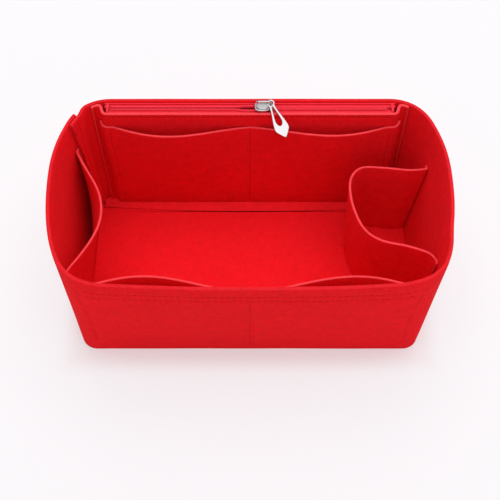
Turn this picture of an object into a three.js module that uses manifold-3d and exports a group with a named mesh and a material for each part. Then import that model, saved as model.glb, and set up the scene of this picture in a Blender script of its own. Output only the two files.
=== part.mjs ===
// A felt organizer insert for a purse, in millimetres, with +Z up.
// X runs along the tub, -Y is its front, and the origin is under the middle of its rim.
import * as THREE from "three";
import { mergeVertices } from "three/addons/utils/BufferGeometryUtils.js";
import Module from "manifold-3d";

const wasm = await Module();
wasm.setup();

// Felt sheets and the play left between sewn sheets
const bandFelt = 3;
const floorFelt = 3;
const panelFelt = 2.5;
const pocketFelt = 1.8;
const seamGap = 0.3;

// The tub, measured outside the band: a rounded base that flares to a bowed rim
const tubHeight = 118;
const baseHalfLength = 132;
const baseFrontDepth = 70.7;
const baseBackDepth = 75.3;
const baseCornerRadius = 12.5;
const rimHalfLength = 145.2;
const rimHalfDepth = 82.8;

// The front right corner of the rim stands fuller than the left one
const rimCornerSwell = 3.2;

// Half of the rim from the middle of the front to the middle of the back, as Bezier sections
const rimSectionShares = [
  [[0, -1], [0.38, -1], [0.682, -0.964]],
  [[0.682, -0.964], [0.826, -0.936], [0.902, -0.821], [0.949, -0.542]],
  [[0.949, -0.542], [1, -0.239], [1, 0.19]],
  [[1, 0.19], [1, 0.448], [0.952, 0.68]],
  [[0.952, 0.68], [0.928, 0.82], [0.864, 1], [0.722, 1]],
  [[0.722, 1], [0.36, 1], [0, 1]],
];
const sectionSteps = [4, 6, 6, 4, 6, 2];
const bandRows = 3;
const bisections = 40;

// The band's two ends lap at the rear left corner, the back end inside
const lapSeamInset = 14.8;
const lapLength = 10;
const lapRampGap = 11;
const lapClearShare = 0.25;

// Removable base: a felt board over a thin stiffener
const stiffenerThickness = 1;
const boardFelt = 2.5;
const boardClearance = 0.9;
const stiffenerInset = 4;
const boardBackGap = 7.3;
const boardBackBow = 6;
const boardBackSteps = 6;

// Zip pocket panel: its ends curl back to the wall and end in sewn flanges
const zipPocketFoot = 7;
const zipPocketTop = 16.1;
const panelEndInset = 18;
const panelCurlReach = 5;
const panelBend = 4;
const panelBendReach = 3.5;
const panelFlange = 4;
const panelFlatSteps = 6;
const panelCurlSteps = 7;
const sheetRows = 4;

// Slip pockets along the back and the front, each stitched through in the middle
const footRise = 8.5;
const backPocketTop = 105;
const backPocketLeftBulge = 9.2;
const backPocketRightBulge = 8.2;
const backPocketEndInset = 5;
const backPocketCurlSteps = 4;
const frontPocketTop = 103;
const frontPocketBulge = 12.5;
const frontPocketEndInset = 15;
const frontPocketFlange = 5;
const slipPocketSteps = 12;
const bulgeSkewShare = 1.35;
const bulgeRiseShare = 1.25;

// Open pocket on the left wall
const leftPocketTop = 90;
const leftPocketBulge = 28;
const leftPocketBackInset = 21.3;
const leftPocketFrontInset = 16.7;
const leftPocketBackFlange = 3;
const leftPocketFrontFlange = 6;
const leftPocketSteps = 16;

// Bottle holder on the right wall, a loop of felt seen from above
const holderTop = 86;
const holderReachTop = 62;
const holderReachFoot = 50;
const holderHalfWidthTop = 40.5;
const holderHalfWidthFoot = 38;
const holderFlange = 5;
const holderSteps = 30;
const holderLoopShares = [
  [0, 1], [0.21, 0.97], [0.55, 1.03], [0.8, 1.03], [0.95, 0.83], [1, 0.5],
  [0.96, 0.06], [0.84, -0.36], [0.64, -0.59], [0.33, -0.71], [0.09, -0.85], [0, -1],
];

// Zipper: two tapes, two rows of coil, a slider, its pull and the folded tape ends
const tapeThickness = 0.6;
const tapeDrop = 9;
const tapeEdge = 1.3;
const tapeBelowRim = 2.8;
const tapeEndInset = 3.6;
const coilEndInset = 2.5;
const coilPitch = 2.2;
const coilHalfWidth = 2.3;
const coilHeight = 1.6;
const coilLift = 0.1;
const coilSpine = 0.7;
const toothOverlap = 0.4;
const toothWidthShare = 0.36;
const openSpread = 1.3;
const openSpreadEnd = 0.7;
const endTabHeight = 1.5;

// Slider, lengths along the zipper
const sliderRest = 10.5;
const sliderLength = 14;
const sliderHalfWidth = 4.8;
const sliderTailHalfWidth = 3.6;
const sliderUnderHalfWidth = 3.9;
const sliderPlate = 1;
const sliderPlay = 0.3;
const channelMouthHalf = 3.95;
const channelTailHalf = 2.8;
const wedgeHalfWidth = 0.7;
const wedgeLength = 4.6;
const wedgeTaper = 1.6;
const eggMouthShares = [[-1, 0.45], [-0.9, 0.74], [-0.62, 0.95], [-0.25, 1], [0.2, 0.96]];
const eggTailShares = [[0.7, 1], [0.93, 0.8], [1, 0.5]];
const bridgeHalfSpan = 5;
const bridgeLeg = 1.6;
const bridgeWidth = 2.2;
const bridgeClear = 4.7;
const bridgeThickness = 1.2;
const bridgeShoulder = 1.8;

// Pull tab, hung by its eye on the slider's tail leg
const pullThickness = 1.4;
const pullPivotRise = 3.2;
const pullReach = 29;
const pullHalfWidth = 5.5;
const pullEyeOuter = 3.1;
const pullEyeHole = 1.8;
const pullSlotStart = 3.6;
const pullSlotNarrow = 1;
const pullSlotShares = [[0.48, 0.4], [0.58, 0.36], [0.64, 0.2]];
const pullLeafShares = [
  [0.26, 0.52], [0.5, 0.82], [0.66, 0.98], [0.73, 1], [0.79, 0.93], [0.9, 0.52],
];
const pullTiltDegrees = 20;
const pullSwingDegrees = -67;
const roundSteps = 16;
const overrun = 1;

// Places that follow from the sizes above
const panelFrontFoot = baseBackDepth - zipPocketFoot;
const panelFrontTop = rimHalfDepth - zipPocketTop;
const panelWallReach = baseHalfLength - panelEndInset;
const panelHalfSpan = panelWallReach - panelCurlReach;
const backPocketHalfSpan = panelHalfSpan - backPocketEndInset;
const frontPocketHalfSpan = baseHalfLength - frontPocketEndInset;
const leftPocketBack = baseBackDepth - leftPocketBackInset;
const leftPocketFront = leftPocketFrontInset - baseFrontDepth;
const tapeHalfLength = panelHalfSpan - tapeEndInset;
const coilHalfLength = tapeHalfLength - coilEndInset;
const endTabStart = coilHalfLength + seamGap;
const boardBackEnds = panelFrontFoot - boardBackGap;
const lapStartDepth = rimHalfDepth - lapSeamInset;
const lapRampStart = panelWallReach + lapRampGap;

const felt = (color) => new THREE.MeshStandardMaterial({ color, roughness: 0.95, metalness: 0 });
const redFelt = felt("#d8222a");
const deepRedFelt = felt("#c20c15");
const boardRed = felt("#eb1c24");
const tapeRed = felt("#d21824");
const coilRed = new THREE.MeshStandardMaterial({ color: "#dd2230", roughness: 0.45, metalness: 0 });
const stiffenerGrey = new THREE.MeshStandardMaterial({ color: "#3a3a3c", roughness: 0.7, metalness: 0 });
const brightMetal = new THREE.MeshStandardMaterial({ color: "#e6e6e8", roughness: 0.15, metalness: 1 });

const group = new THREE.Group();

function addMesh(name, geometry, material, parent = group) {
  const mesh = new THREE.Mesh(geometry, material);
  mesh.name = name;
  parent.add(mesh);
  return mesh;
}

const mix = THREE.MathUtils.lerp;

// A point on a Bezier curve of any degree, by repeated halving of its control polygon
function bezierPoint(controls, fraction) {
  let points = controls.map(([x, y]) => new THREE.Vector2(x, y));
  while (points.length > 1) {
    points = points.slice(1).map((point, index) => points[index].clone().lerp(point, fraction));
  }
  return points[0];
}

// Half of the base in the same sections as the rim: straight sides joined by corner arcs
function baseSections() {
  const arcShare = 0.5523;
  const length = baseHalfLength;
  const front = -baseFrontDepth;
  const back = baseBackDepth;
  const radius = baseCornerRadius;
  const handle = radius * arcShare;
  const sideBreak = rimSectionShares[3][0][1] * rimHalfDepth;
  return [
    [[0, front], [length - radius, front]],
    [
      [length - radius, front], [length - radius + handle, front],
      [length, front + radius - handle], [length, front + radius],
    ],
    [[length, front + radius], [length, sideBreak]],
    [[length, sideBreak], [length, back - radius]],
    [
      [length, back - radius], [length, back - radius + handle],
      [length - radius + handle, back], [length - radius, back],
    ],
    [[length - radius, back], [0, back]],
  ];
}

// Stations round half of the tub, each a pair of points, one on the base and one on the rim
const baseHalf = baseSections();
const rimHalf = rimSectionShares.map((section) =>
  section.map(([x, y]) => [x * rimHalfLength, y * rimHalfDepth]));
const stations = [];
sectionSteps.forEach((steps, section) => {
  for (let step = section === 0 ? 0 : 1; step <= steps; step += 1) {
    stations.push({
      base: bezierPoint(baseHalf[section], step / steps),
      rim: bezierPoint(rimHalf[section], step / steps),
    });
  }
});
const lastStation = stations.length - 1;
const widestStation = sectionSteps[0] + sectionSteps[1] + sectionSteps[2];

// How far the front right corner swells out at a station of the right half
const swellStart = sectionSteps[0];
const swellEnd = widestStation - sectionSteps[3];
function swellAt(number, level) {
  const share = THREE.MathUtils.clamp((number - swellStart) / (swellEnd - swellStart), 0, 1);
  return rimCornerSwell * level * Math.sin(Math.PI * share) ** 2;
}

// Stations are numbered from 0 at the middle of the front; the left half has negative numbers
function wrapStation(number) {
  if (number > lastStation) return number - 2 * lastStation;
  if (number < -lastStation) return number + 2 * lastStation;
  return number;
}

function outerCorner(number, level) {
  const wrapped = wrapStation(number);
  const { base, rim } = stations[Math.abs(wrapped)];
  const point = base.clone().lerp(rim, level);
  point.x = wrapped < 0 ? -point.x : point.x + swellAt(wrapped, level);
  return point;
}

function insetCorner(number, level, inset) {
  const along = outerCorner(number + 1, level).sub(outerCorner(number - 1, level)).normalize();
  return outerCorner(number, level).add(new THREE.Vector2(-along.y, along.x).multiplyScalar(inset));
}

// A point of the band's plan: level 0 is the base and 1 the rim, inset is measured inwards
function wallPoint(number, level, inset) {
  const low = Math.floor(number);
  return insetCorner(low, level, inset).lerp(insetCorner(low + 1, level, inset), number - low);
}

// Bisects for the station where a measure that rises from low to high meets its target
function findStation(low, high, measure, target) {
  let [from, to] = [low, high];
  for (let turn = 0; turn < bisections; turn += 1) {
    const middle = (from + to) / 2;
    if (measure(middle) < target) from = middle;
    else to = middle;
  }
  return (from + to) / 2;
}

const sideStation = (depth, level, inset) =>
  findStation(0, lastStation, (number) => wallPoint(number, level, inset).y, depth);
const frontStation = (length, level, inset, side) =>
  side * findStation(0, widestStation, (number) => side * wallPoint(side * number, level, inset).x, length);
const backStation = (length, level, inset) =>
  findStation(widestStation, lastStation, (number) => -wallPoint(number, level, inset).x, -length);

const backWallDepth = (length, level, inset) =>
  wallPoint(backStation(Math.abs(length), level, inset), level, inset).y;

// Turns the triangles over if the solid they close is inside out
function facingOut(positions, triangles) {
  const corner = (index) => new THREE.Vector3().fromArray(positions, index * 3);
  let volume = 0;
  for (let first = 0; first < triangles.length; first += 3) {
    const [a, b, c] = [0, 1, 2].map((step) => corner(triangles[first + step]));
    volume += a.dot(b.cross(c));
  }
  return volume < 0 ? triangles.slice().reverse() : triangles;
}

function solidGeometry(positions, triangles) {
  const geometry = new THREE.BufferGeometry();
  geometry.setAttribute("position", new THREE.Float32BufferAttribute(positions, 3));
  geometry.setIndex(facingOut(positions, triangles));
  geometry.computeVertexNormals();
  return geometry;
}

// A closed sheet between two faces, each given as rows of points
function sheetGeometry(near, far) {
  const rows = near.length;
  const columns = near[0].length;
  const positions = [near, far].flat(2).flatMap((point) => [point.x, point.y, point.z]);
  const at = (face, row, column) => (face * rows + row) * columns + column;
  const triangles = [];
  const quad = (a, b, c, d) => triangles.push(a, b, c, a, c, d);
  const top = rows - 1;
  const end = columns - 1;
  for (let row = 0; row < top; row += 1) {
    for (let column = 0; column < end; column += 1) {
      quad(at(0, row, column), at(0, row, column + 1), at(0, row + 1, column + 1), at(0, row + 1, column));
      quad(at(1, row, column), at(1, row + 1, column), at(1, row + 1, column + 1), at(1, row, column + 1));
    }
    quad(at(0, row, 0), at(0, row + 1, 0), at(1, row + 1, 0), at(1, row, 0));
    quad(at(0, row + 1, end), at(0, row, end), at(1, row, end), at(1, row + 1, end));
  }
  for (let column = 0; column < end; column += 1) {
    quad(at(0, 0, column + 1), at(0, 0, column), at(1, 0, column), at(1, 0, column + 1));
    quad(at(0, top, column), at(0, top, column + 1), at(1, top, column + 1), at(1, top, column));
  }
  return solidGeometry(positions, triangles);
}

// Plan points offset square to their own path
function offsetPath(path, distance) {
  return path.map((point, index) => {
    const before = path[Math.max(index - 1, 0)];
    const after = path[Math.min(index + 1, path.length - 1)];
    const along = after.clone().sub(before).normalize();
    return new THREE.Vector2(point.x - along.y * distance, point.y + along.x * distance);
  });
}

// A sheet of felt that stands on end: planPath gives its middle line at a height
function standingSheet(heights, thickness, planPath) {
  const face = (side) => heights.map((height) =>
    offsetPath(planPath(height), (side * thickness) / 2)
      .map((point) => new THREE.Vector3(point.x, point.y, height)));
  return sheetGeometry(face(-1), face(1));
}

const heightSteps = (low, high, steps) =>
  Array.from({ length: steps + 1 }, (_, step) => mix(low, high, step / steps));

// A pocket's rows: one for its flat sewn foot, the rest up its bulging side
const pocketHeights = (top) => [floorFelt + seamGap, ...heightSteps(footRise, top, sheetRows)];

// How far a pocket's bulge has grown at a height: none at its foot, all at its top
function bulgeAt(height, top) {
  return height <= footRise ? 0 : ((height - footRise) / (top - footRise)) ** bulgeRiseShare;
}

function plateGeometry(points, bottom, thickness) {
  const geometry = new THREE.ExtrudeGeometry(new THREE.Shape(points), {
    depth: thickness,
    bevelEnabled: false,
  });
  geometry.translate(0, 0, bottom);
  return geometry;
}

// An outline in Y and Z, extruded along X from one place to another
function alongGeometry(points, from, to) {
  const geometry = new THREE.ExtrudeGeometry(new THREE.Shape(points), {
    depth: to - from,
    bevelEnabled: false,
  });
  const [x, y, z] = [0, 1, 2].map((axis) => new THREE.Vector3().setComponent(axis, 1));
  geometry.applyMatrix4(new THREE.Matrix4().makeBasis(y, z, x));
  geometry.translate(from, 0, 0);
  return geometry;
}

// The lap: from its ramp the band's back end steps inwards, to lie inside the left end
const lapInset = bandFelt + seamGap;
const lapSeam = -sideStation(lapStartDepth, 1, 0);
const lapEnd = -sideStation(lapStartDepth - lapLength, 1, 0);
const lapRamp = -backStation(lapRampStart, 1, 0);
const lapClear = lapEnd + (lapEnd - lapSeam) * lapClearShare;
function lapShift(number) {
  if (number > lapClear) return 0;
  return lapInset * THREE.MathUtils.smoothstep(number, lapRamp, lapSeam);
}

// Outer wall: one long strip, from its end outside the lap round to its end inside
function buildBand() {
  const turn = 2 * lastStation;
  const round = [lapSeam];
  for (let number = Math.ceil(lapSeam); number < lapSeam + turn; number += 1) round.push(number);
  round.push(lapSeam + turn);
  for (let number = Math.ceil(lapSeam + turn); number < lapEnd + turn; number += 1) round.push(number);
  round.push(lapEnd + turn);
  const bandPoint = (number, level, depth) => {
    const wrapped = number > lastStation ? number - turn : number;
    const shift = number > lastStation ? lapShift(wrapped) : 0;
    return wallPoint(wrapped, level, depth + shift);
  };
  const face = (depth) => heightSteps(0, tubHeight, bandRows).map((height) =>
    round.map((number) => {
      const point = bandPoint(number, height / tubHeight, depth);
      return new THREE.Vector3(point.x, point.y, height);
    }));
  addMesh("outer_wall", sheetGeometry(face(0), face(bandFelt)), redFelt);
}

// Plan outline inside the band between two stations, stepping in past the lap
function insideOutline(from, to, level, inset) {
  const marks = [from, lapSeam, lapClear, lapClear + (lapClear - lapEnd) / 2];
  for (let number = Math.ceil(from); number < to; number += 1) marks.push(number);
  return [...new Set(marks)]
    .filter((number) => number >= from)
    .sort((a, b) => a - b)
    .map((number) => wallPoint(number, level, inset + lapShift(number)));
}

// Floor: the sewn bottom, the stiffener and the felt board that lifts out
function buildFloor() {
  const bottom = insideOutline(-lastStation, lastStation, 0, bandFelt + seamGap);
  addMesh("bottom_panel", plateGeometry(bottom, 0, floorFelt), redFelt);

  const boardInset = bandFelt + 2 * seamGap + pocketFelt + boardClearance;
  const boardOutline = (inset, backInset) => {
    const level = floorFelt / tubHeight;
    const end = sideStation(boardBackEnds - backInset, level, inset);
    const points = insideOutline(-end, end, level, inset);
    const [left, right] = [points[0], wallPoint(end, level, inset)];
    const middle = new THREE.Vector2(0, right.y - 2 * boardBackBow);
    const edge = new THREE.QuadraticBezierCurve(right, middle, left).getPoints(boardBackSteps);
    return points.concat(edge.slice(0, -1));
  };
  const stiffenerBottom = floorFelt + seamGap;
  const boardBottom = stiffenerBottom + stiffenerThickness + seamGap;
  const stiffener = boardOutline(boardInset + stiffenerInset, stiffenerInset);
  addMesh("base_stiffener", plateGeometry(stiffener, stiffenerBottom, stiffenerThickness), stiffenerGrey);
  addMesh("base_insert", plateGeometry(boardOutline(boardInset, 0), boardBottom, boardFelt), boardRed);
  return boardBottom + boardFelt;
}

// Middle line of the zip panel's right half: flat, then an S back to the wall, then the flange
function panelHalf(height) {
  const level = height / tubHeight;
  const front = mix(panelFrontFoot, panelFrontTop, level) + panelFelt / 2;
  const seat = bandFelt + seamGap + panelFelt / 2;
  const flat = heightSteps(0, panelHalfSpan - panelBend, panelFlatSteps)
    .map((length) => new THREE.Vector2(length, front));
  const landing = panelWallReach + panelBend / 2;
  const wallAt = (length) => new THREE.Vector2(length, backWallDepth(length, level, seat));
  const curl = new THREE.CubicBezierCurve(
    flat[panelFlatSteps],
    new THREE.Vector2(panelHalfSpan + panelBendReach, front),
    wallAt(landing - panelBend - panelBendReach),
    wallAt(landing),
  ).getPoints(panelCurlSteps);
  return [...flat, ...curl.slice(1), wallAt(landing + panelFlange / 2), wallAt(landing + panelFlange)];
}

// Joins two halves that both run outwards from the middle, the left one turned to -X
const joinHalves = (left, right) => [
  ...left.slice(1).reverse().map((point) => new THREE.Vector2(-point.x, point.y)),
  ...right,
];
const mirrorPath = (half) => joinHalves(half, half);

function buildZipPanel() {
  const heights = heightSteps(floorFelt + seamGap, tubHeight, sheetRows);
  const sheet = standingSheet(heights, panelFelt, (height) => mirrorPath(panelHalf(height)));
  addMesh("zip_pocket_panel", sheet, deepRedFelt);
}

// Bulge of a slip pocket between its middle seam and its end seam
function slipBulge(length, span) {
  const share = Math.min(Math.abs(length) / span, 1);
  return Math.sin(Math.PI * share ** bulgeSkewShare);
}

// Back slip pocket: lies on the panel's face and follows the start of its curl
function buildBackPocket() {
  const lie = panelFelt / 2 + seamGap + pocketFelt / 2;
  const sheet = standingSheet(pocketHeights(backPocketTop), pocketFelt, (height) => {
    const face = offsetPath(panelHalf(height), -lie);
    const front = face[0].y;
    const curl = face.slice(panelFlatSteps + 1, panelFlatSteps + 1 + backPocketCurlSteps);
    const half = (bulge) => {
      const grown = bulge * bulgeAt(height, backPocketTop);
      const flat = heightSteps(0, panelHalfSpan - panelBend, slipPocketSteps).map((length) =>
        new THREE.Vector2(length, front - grown * slipBulge(length, backPocketHalfSpan)));
      return [...flat, ...curl];
    };
    return joinHalves(half(backPocketLeftBulge), half(backPocketRightBulge));
  });
  addMesh("back_slip_pocket", sheet, deepRedFelt);
}

// A path along the wall between two stations, each point set in by its own amount
function wallPath(from, to, steps, level, insetAt) {
  return Array.from({ length: steps + 1 }, (_, step) =>
    wallPoint(mix(from, to, step / steps), level, insetAt(step / steps)));
}

function buildFrontPocket() {
  const seat = bandFelt + seamGap + pocketFelt / 2;
  const sheet = standingSheet(pocketHeights(frontPocketTop), pocketFelt, (height) => {
    const level = height / tubHeight;
    const grown = frontPocketBulge * bulgeAt(height, frontPocketTop);
    const half = (side) => {
      const wallDepth = (length) => wallPoint(frontStation(length, level, seat, side), level, seat).y;
      const bulging = heightSteps(0, frontPocketHalfSpan, slipPocketSteps).map((length) =>
        new THREE.Vector2(length, wallDepth(length) + grown * slipBulge(length, frontPocketHalfSpan)));
      const flangeEnd = frontPocketHalfSpan + frontPocketFlange;
      return [...bulging, new THREE.Vector2(flangeEnd, wallDepth(flangeEnd))];
    };
    return joinHalves(half(-1), half(1));
  });
  addMesh("front_slip_pocket", sheet, redFelt);
}

function buildLeftPocket() {
  const seat = bandFelt + seamGap + pocketFelt / 2;
  const sheet = standingSheet(pocketHeights(leftPocketTop), pocketFelt, (height) => {
    const level = height / tubHeight;
    const grown = leftPocketBulge * bulgeAt(height, leftPocketTop);
    const stationAt = (depth) => -sideStation(depth, level, seat);
    const [back, front] = [stationAt(leftPocketBack), stationAt(leftPocketFront)];
    const bulging = wallPath(back, front, leftPocketSteps, level, (share) =>
      seat + grown * Math.sin(Math.PI * share));
    const flangeBack = stationAt(leftPocketBack + leftPocketBackFlange);
    const flangeFront = stationAt(leftPocketFront - leftPocketFrontFlange);
    return [wallPoint(flangeBack, level, seat), ...bulging, wallPoint(flangeFront, level, seat)];
  });
  addMesh("left_side_pocket", sheet, redFelt);
}

// Bottle holder: a tall loop of felt whose two ends are sewn flat to the right wall
function buildHolder(footHeight) {
  const seat = bandFelt + seamGap + pocketFelt / 2;
  const heights = heightSteps(footHeight + seamGap, holderTop, sheetRows);
  const sheet = standingSheet(heights, pocketFelt, (height) => {
    const level = height / tubHeight;
    const rise = (height - heights[0]) / (holderTop - heights[0]);
    const reach = mix(holderReachFoot, holderReachTop, rise);
    const halfWidth = mix(holderHalfWidthFoot, holderHalfWidthTop, rise);
    const wallAt = (depth) => wallPoint(sideStation(depth, level, seat), level, seat);
    const knots = holderLoopShares.map(([out, across]) => {
      const wall = wallAt(across * halfWidth);
      return new THREE.Vector2(wall.x - out * reach, across * halfWidth);
    });
    const loop = new THREE.SplineCurve(knots).getPoints(holderSteps);
    return [wallAt(halfWidth + holderFlange), ...loop, wallAt(-halfWidth - holderFlange)];
  });
  addMesh("bottle_holder", sheet, deepRedFelt);
}

// Heights and depth shared by everything on the zipper
const tapeBottom = tubHeight - tapeBelowRim;
const tapeTop = tapeBottom + tapeThickness;
const coilBottom = tapeTop + coilLift;
const coilTop = coilBottom + coilHeight;
const zipBack = backWallDepth(0, tapeBottom / tubHeight, bandFelt);
const zipFront = mix(panelFrontFoot, panelFrontTop, tapeBottom / tubHeight) + panelFelt;
const zipDepth = (zipBack + zipFront) / 2;

// Zipper tapes: an L that lies under the coil and folds down along the felt
function buildTapes() {
  const foldBottom = tapeBottom - tapeDrop;
  const backFace = (height) => backWallDepth(0, height / tubHeight, bandFelt) - seamGap;
  const frontFace = (height) =>
    mix(panelFrontFoot, panelFrontTop, height / tubHeight) + panelFelt + seamGap;
  const profile = (faceAt, side) => [
    new THREE.Vector2(zipDepth + side * tapeEdge, tapeBottom),
    new THREE.Vector2(faceAt(tapeBottom) - side * tapeThickness, tapeBottom),
    new THREE.Vector2(faceAt(foldBottom) - side * tapeThickness, foldBottom),
    new THREE.Vector2(faceAt(foldBottom), foldBottom),
    new THREE.Vector2(faceAt(tapeBottom), tapeTop),
    new THREE.Vector2(zipDepth + side * tapeEdge, tapeTop),
  ];
  const tape = (faceAt, side) => alongGeometry(profile(faceAt, side), -tapeHalfLength, tapeHalfLength);
  addMesh("zipper_tape_rear", tape(backFace, 1), tapeRed);
  addMesh("zipper_tape_front", tape(frontFace, -1), tapeRed);
}

// How far one row of coil stands off the middle: closed behind the slider, parted ahead of it
function coilSpread(length) {
  const mouth = sliderRest - sliderLength / 2 + wedgeLength - wedgeTaper;
  if (length > mouth) {
    return openSpread * (1 - THREE.MathUtils.smoothstep(length, mouth, mouth + wedgeLength));
  }
  const far = (mouth - length) / (mouth + coilHalfLength);
  return mix(openSpread, openSpreadEnd, far);
}

// One row of coil as a comb of loops on a spine; side is -1 in front and 1 behind
function buildCoil(name, side) {
  const count = Math.floor((2 * coilHalfLength) / coilPitch);
  const half = coilPitch * toothWidthShare / 2;
  const shift = side > 0 ? coilPitch / 2 : 0;
  const back = (length) => zipDepth + side * (coilHalfWidth + coilSpread(length));
  const root = (length) => zipDepth + side * (coilHalfWidth - coilSpine + coilSpread(length));
  const head = (length) => zipDepth + side * (coilSpread(length) - toothOverlap);
  const teeth = [];
  const spine = [];
  for (let tooth = 0; tooth < count; tooth += 1) {
    const length = -coilHalfLength + coilPitch / 2 + tooth * coilPitch + shift;
    if (length + half < coilHalfLength) {
      teeth.push(
        new THREE.Vector2(length - half, root(length)),
        new THREE.Vector2(length - half, head(length)),
        new THREE.Vector2(length + half, head(length)),
        new THREE.Vector2(length + half, root(length)),
      );
      if (length < sliderRest + sliderLength / 2) {
        spine.push(new THREE.Vector2(length, back(length)));
      }
    }
  }
  const ends = [-coilHalfLength, coilHalfLength];
  const outline = [
    new THREE.Vector2(ends[0], root(ends[0])),
    ...teeth,
    new THREE.Vector2(ends[1], root(ends[1])),
    new THREE.Vector2(ends[1], back(ends[1])),
    ...spine.reverse(),
    new THREE.Vector2(ends[0], back(ends[0])),
  ];
  addMesh(name, plateGeometry(outline, coilBottom, coilHeight), coilRed);
}

// Folded ends of the tapes, which stop the slider
function buildEndTabs() {
  const reach = (zipBack - zipFront) / 2 - seamGap - tapeThickness;
  const bottom = tapeTop + seamGap;
  const shoulder = endTabHeight / 2;
  const profile = [
    new THREE.Vector2(zipDepth - reach, bottom),
    new THREE.Vector2(zipDepth + reach, bottom),
    new THREE.Vector2(zipDepth + reach, bottom + shoulder),
    new THREE.Vector2(zipDepth + reach - shoulder, bottom + endTabHeight),
    new THREE.Vector2(zipDepth - reach + shoulder, bottom + endTabHeight),
    new THREE.Vector2(zipDepth - reach, bottom + shoulder),
  ];
  addMesh("zip_end_tab_left", alongGeometry(profile, -tapeHalfLength, -endTabStart), tapeRed);
  addMesh("zip_end_tab_right", alongGeometry(profile, endTabStart, tapeHalfLength), tapeRed);
}

function solidOf(geometry) {
  const bare = new THREE.BufferGeometry();
  bare.setAttribute("position", geometry.getAttribute("position"));
  if (geometry.index) bare.setIndex(geometry.index);
  const merged = mergeVertices(bare);
  return new wasm.Manifold(new wasm.Mesh({
    numProp: 3,
    vertProperties: merged.getAttribute("position").array,
    triVerts: new Uint32Array(merged.index.array),
  }));
}

function geometryOf(solid) {
  const mesh = solid.getMesh();
  return solidGeometry(Array.from(mesh.vertProperties), Array.from(mesh.triVerts));
}

// A closed plan outline from half of it, given as [length, half width] pairs
function mirroredOutline(half) {
  const upper = half.map(([x, y]) => new THREE.Vector2(x, y));
  const lower = half.slice().reverse().filter(([, y]) => y > 0).map(([x, y]) => new THREE.Vector2(x, -y));
  return [...upper, ...lower];
}

// Slider: two plates joined by the wedge at its mouth, side flanges and a bridge over the top
function buildSlider(holder) {
  const half = sliderLength / 2;
  const under = tapeBottom - sliderPlay;
  const roof = coilTop + sliderPlay;
  const deck = roof + sliderPlate;
  const egg = (width, tail) => mirroredOutline([
    ...eggMouthShares.map(([x, y]) => [x * half, y * width]),
    ...eggTailShares.map(([x, y]) => [x * half, y * tail]),
  ]);
  const channel = mirroredOutline([
    [-half - overrun, channelMouthHalf],
    [-half + wedgeLength - wedgeTaper, channelMouthHalf],
    [0, channelTailHalf],
    [half + overrun, channelTailHalf],
  ]);
  const wedge = mirroredOutline([
    [-half + sliderPlay, wedgeHalfWidth / 2],
    [-half + 2 * sliderPlay, wedgeHalfWidth],
    [-half + wedgeLength - wedgeTaper, wedgeHalfWidth],
    [-half + wedgeLength, 0],
  ]);
  const top = solidOf(plateGeometry(egg(sliderHalfWidth, sliderTailHalfWidth), roof, sliderPlate));
  const flangeBottom = tapeTop + sliderPlay;
  const flanges = solidOf(
    plateGeometry(egg(sliderHalfWidth, sliderTailHalfWidth), flangeBottom, roof - flangeBottom),
  ).subtract(solidOf(plateGeometry(channel, flangeBottom - overrun, roof - flangeBottom + 2 * overrun)));
  const bottom = solidOf(
    plateGeometry(egg(sliderUnderHalfWidth, channelTailHalf), under - sliderPlate, sliderPlate),
  );
  const wedgePost = solidOf(plateGeometry(wedge, under, roof - under));

  const outer = bridgeHalfSpan + bridgeLeg / 2;
  const inner = bridgeHalfSpan - bridgeLeg / 2;
  const crown = bridgeClear + bridgeThickness;
  const arch = new THREE.Shape([
    [-outer, 0], [-inner, 0], [-inner, bridgeClear], [inner, bridgeClear], [inner, 0], [outer, 0],
    [outer, crown - bridgeShoulder], [outer - bridgeShoulder, crown],
    [-outer + bridgeShoulder, crown], [-outer, crown - bridgeShoulder],
  ].map(([x, y]) => new THREE.Vector2(x, y)));
  const strap = new THREE.ExtrudeGeometry(arch, { depth: bridgeWidth, bevelEnabled: false });
  strap.rotateX(Math.PI / 2);
  strap.translate(0, bridgeWidth / 2, deck);
  const solid = top.add(flanges).add(bottom).add(wedgePost).add(solidOf(strap));
  addMesh("slider_body", geometryOf(solid), brightMetal, holder);
  return deck;
}

// Pull tab: a pointed leaf with a teardrop slot, its eye round the bridge's tail leg
function buildPull(holder, deck) {
  const leafSide = pullLeafShares.map(([x, y]) => [x * pullReach, y * pullHalfWidth]);
  const eyeSide = [];
  const openAngle = Math.PI / 4;
  for (let step = 0; step <= roundSteps / 2; step += 1) {
    const angle = mix(Math.PI, openAngle, step / (roundSteps / 2));
    eyeSide.push([Math.cos(angle) * pullEyeOuter, Math.sin(angle) * pullEyeOuter]);
  }
  eyeSide[0][1] = 0;
  const outline = mirroredOutline([...eyeSide, ...leafSide, [pullReach, 0]].reverse());
  const leaf = new THREE.Shape(outline);
  const eye = [];
  for (let step = 0; step < roundSteps; step += 1) {
    const angle = (2 * Math.PI * step) / roundSteps;
    eye.push(new THREE.Vector2(Math.cos(angle) * pullEyeHole, Math.sin(angle) * pullEyeHole));
  }
  const slot = mirroredOutline([
    [pullSlotStart, pullSlotNarrow / 2],
    ...pullSlotShares.map(([x, y]) => [x * pullReach, y * pullHalfWidth]),
  ]);
  leaf.holes.push(new THREE.Path(eye), new THREE.Path(slot));
  const geometry = new THREE.ExtrudeGeometry(leaf, { depth: pullThickness, bevelEnabled: false });
  geometry.translate(0, 0, -pullThickness / 2);
  const mesh = addMesh("pull_tab", geometry, brightMetal, holder);
  mesh.position.set(bridgeHalfSpan, 0, deck + pullPivotRise);
  mesh.rotation.set(
    THREE.MathUtils.degToRad(pullTiltDegrees),
    0,
    THREE.MathUtils.degToRad(pullSwingDegrees),
  );
}

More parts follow.
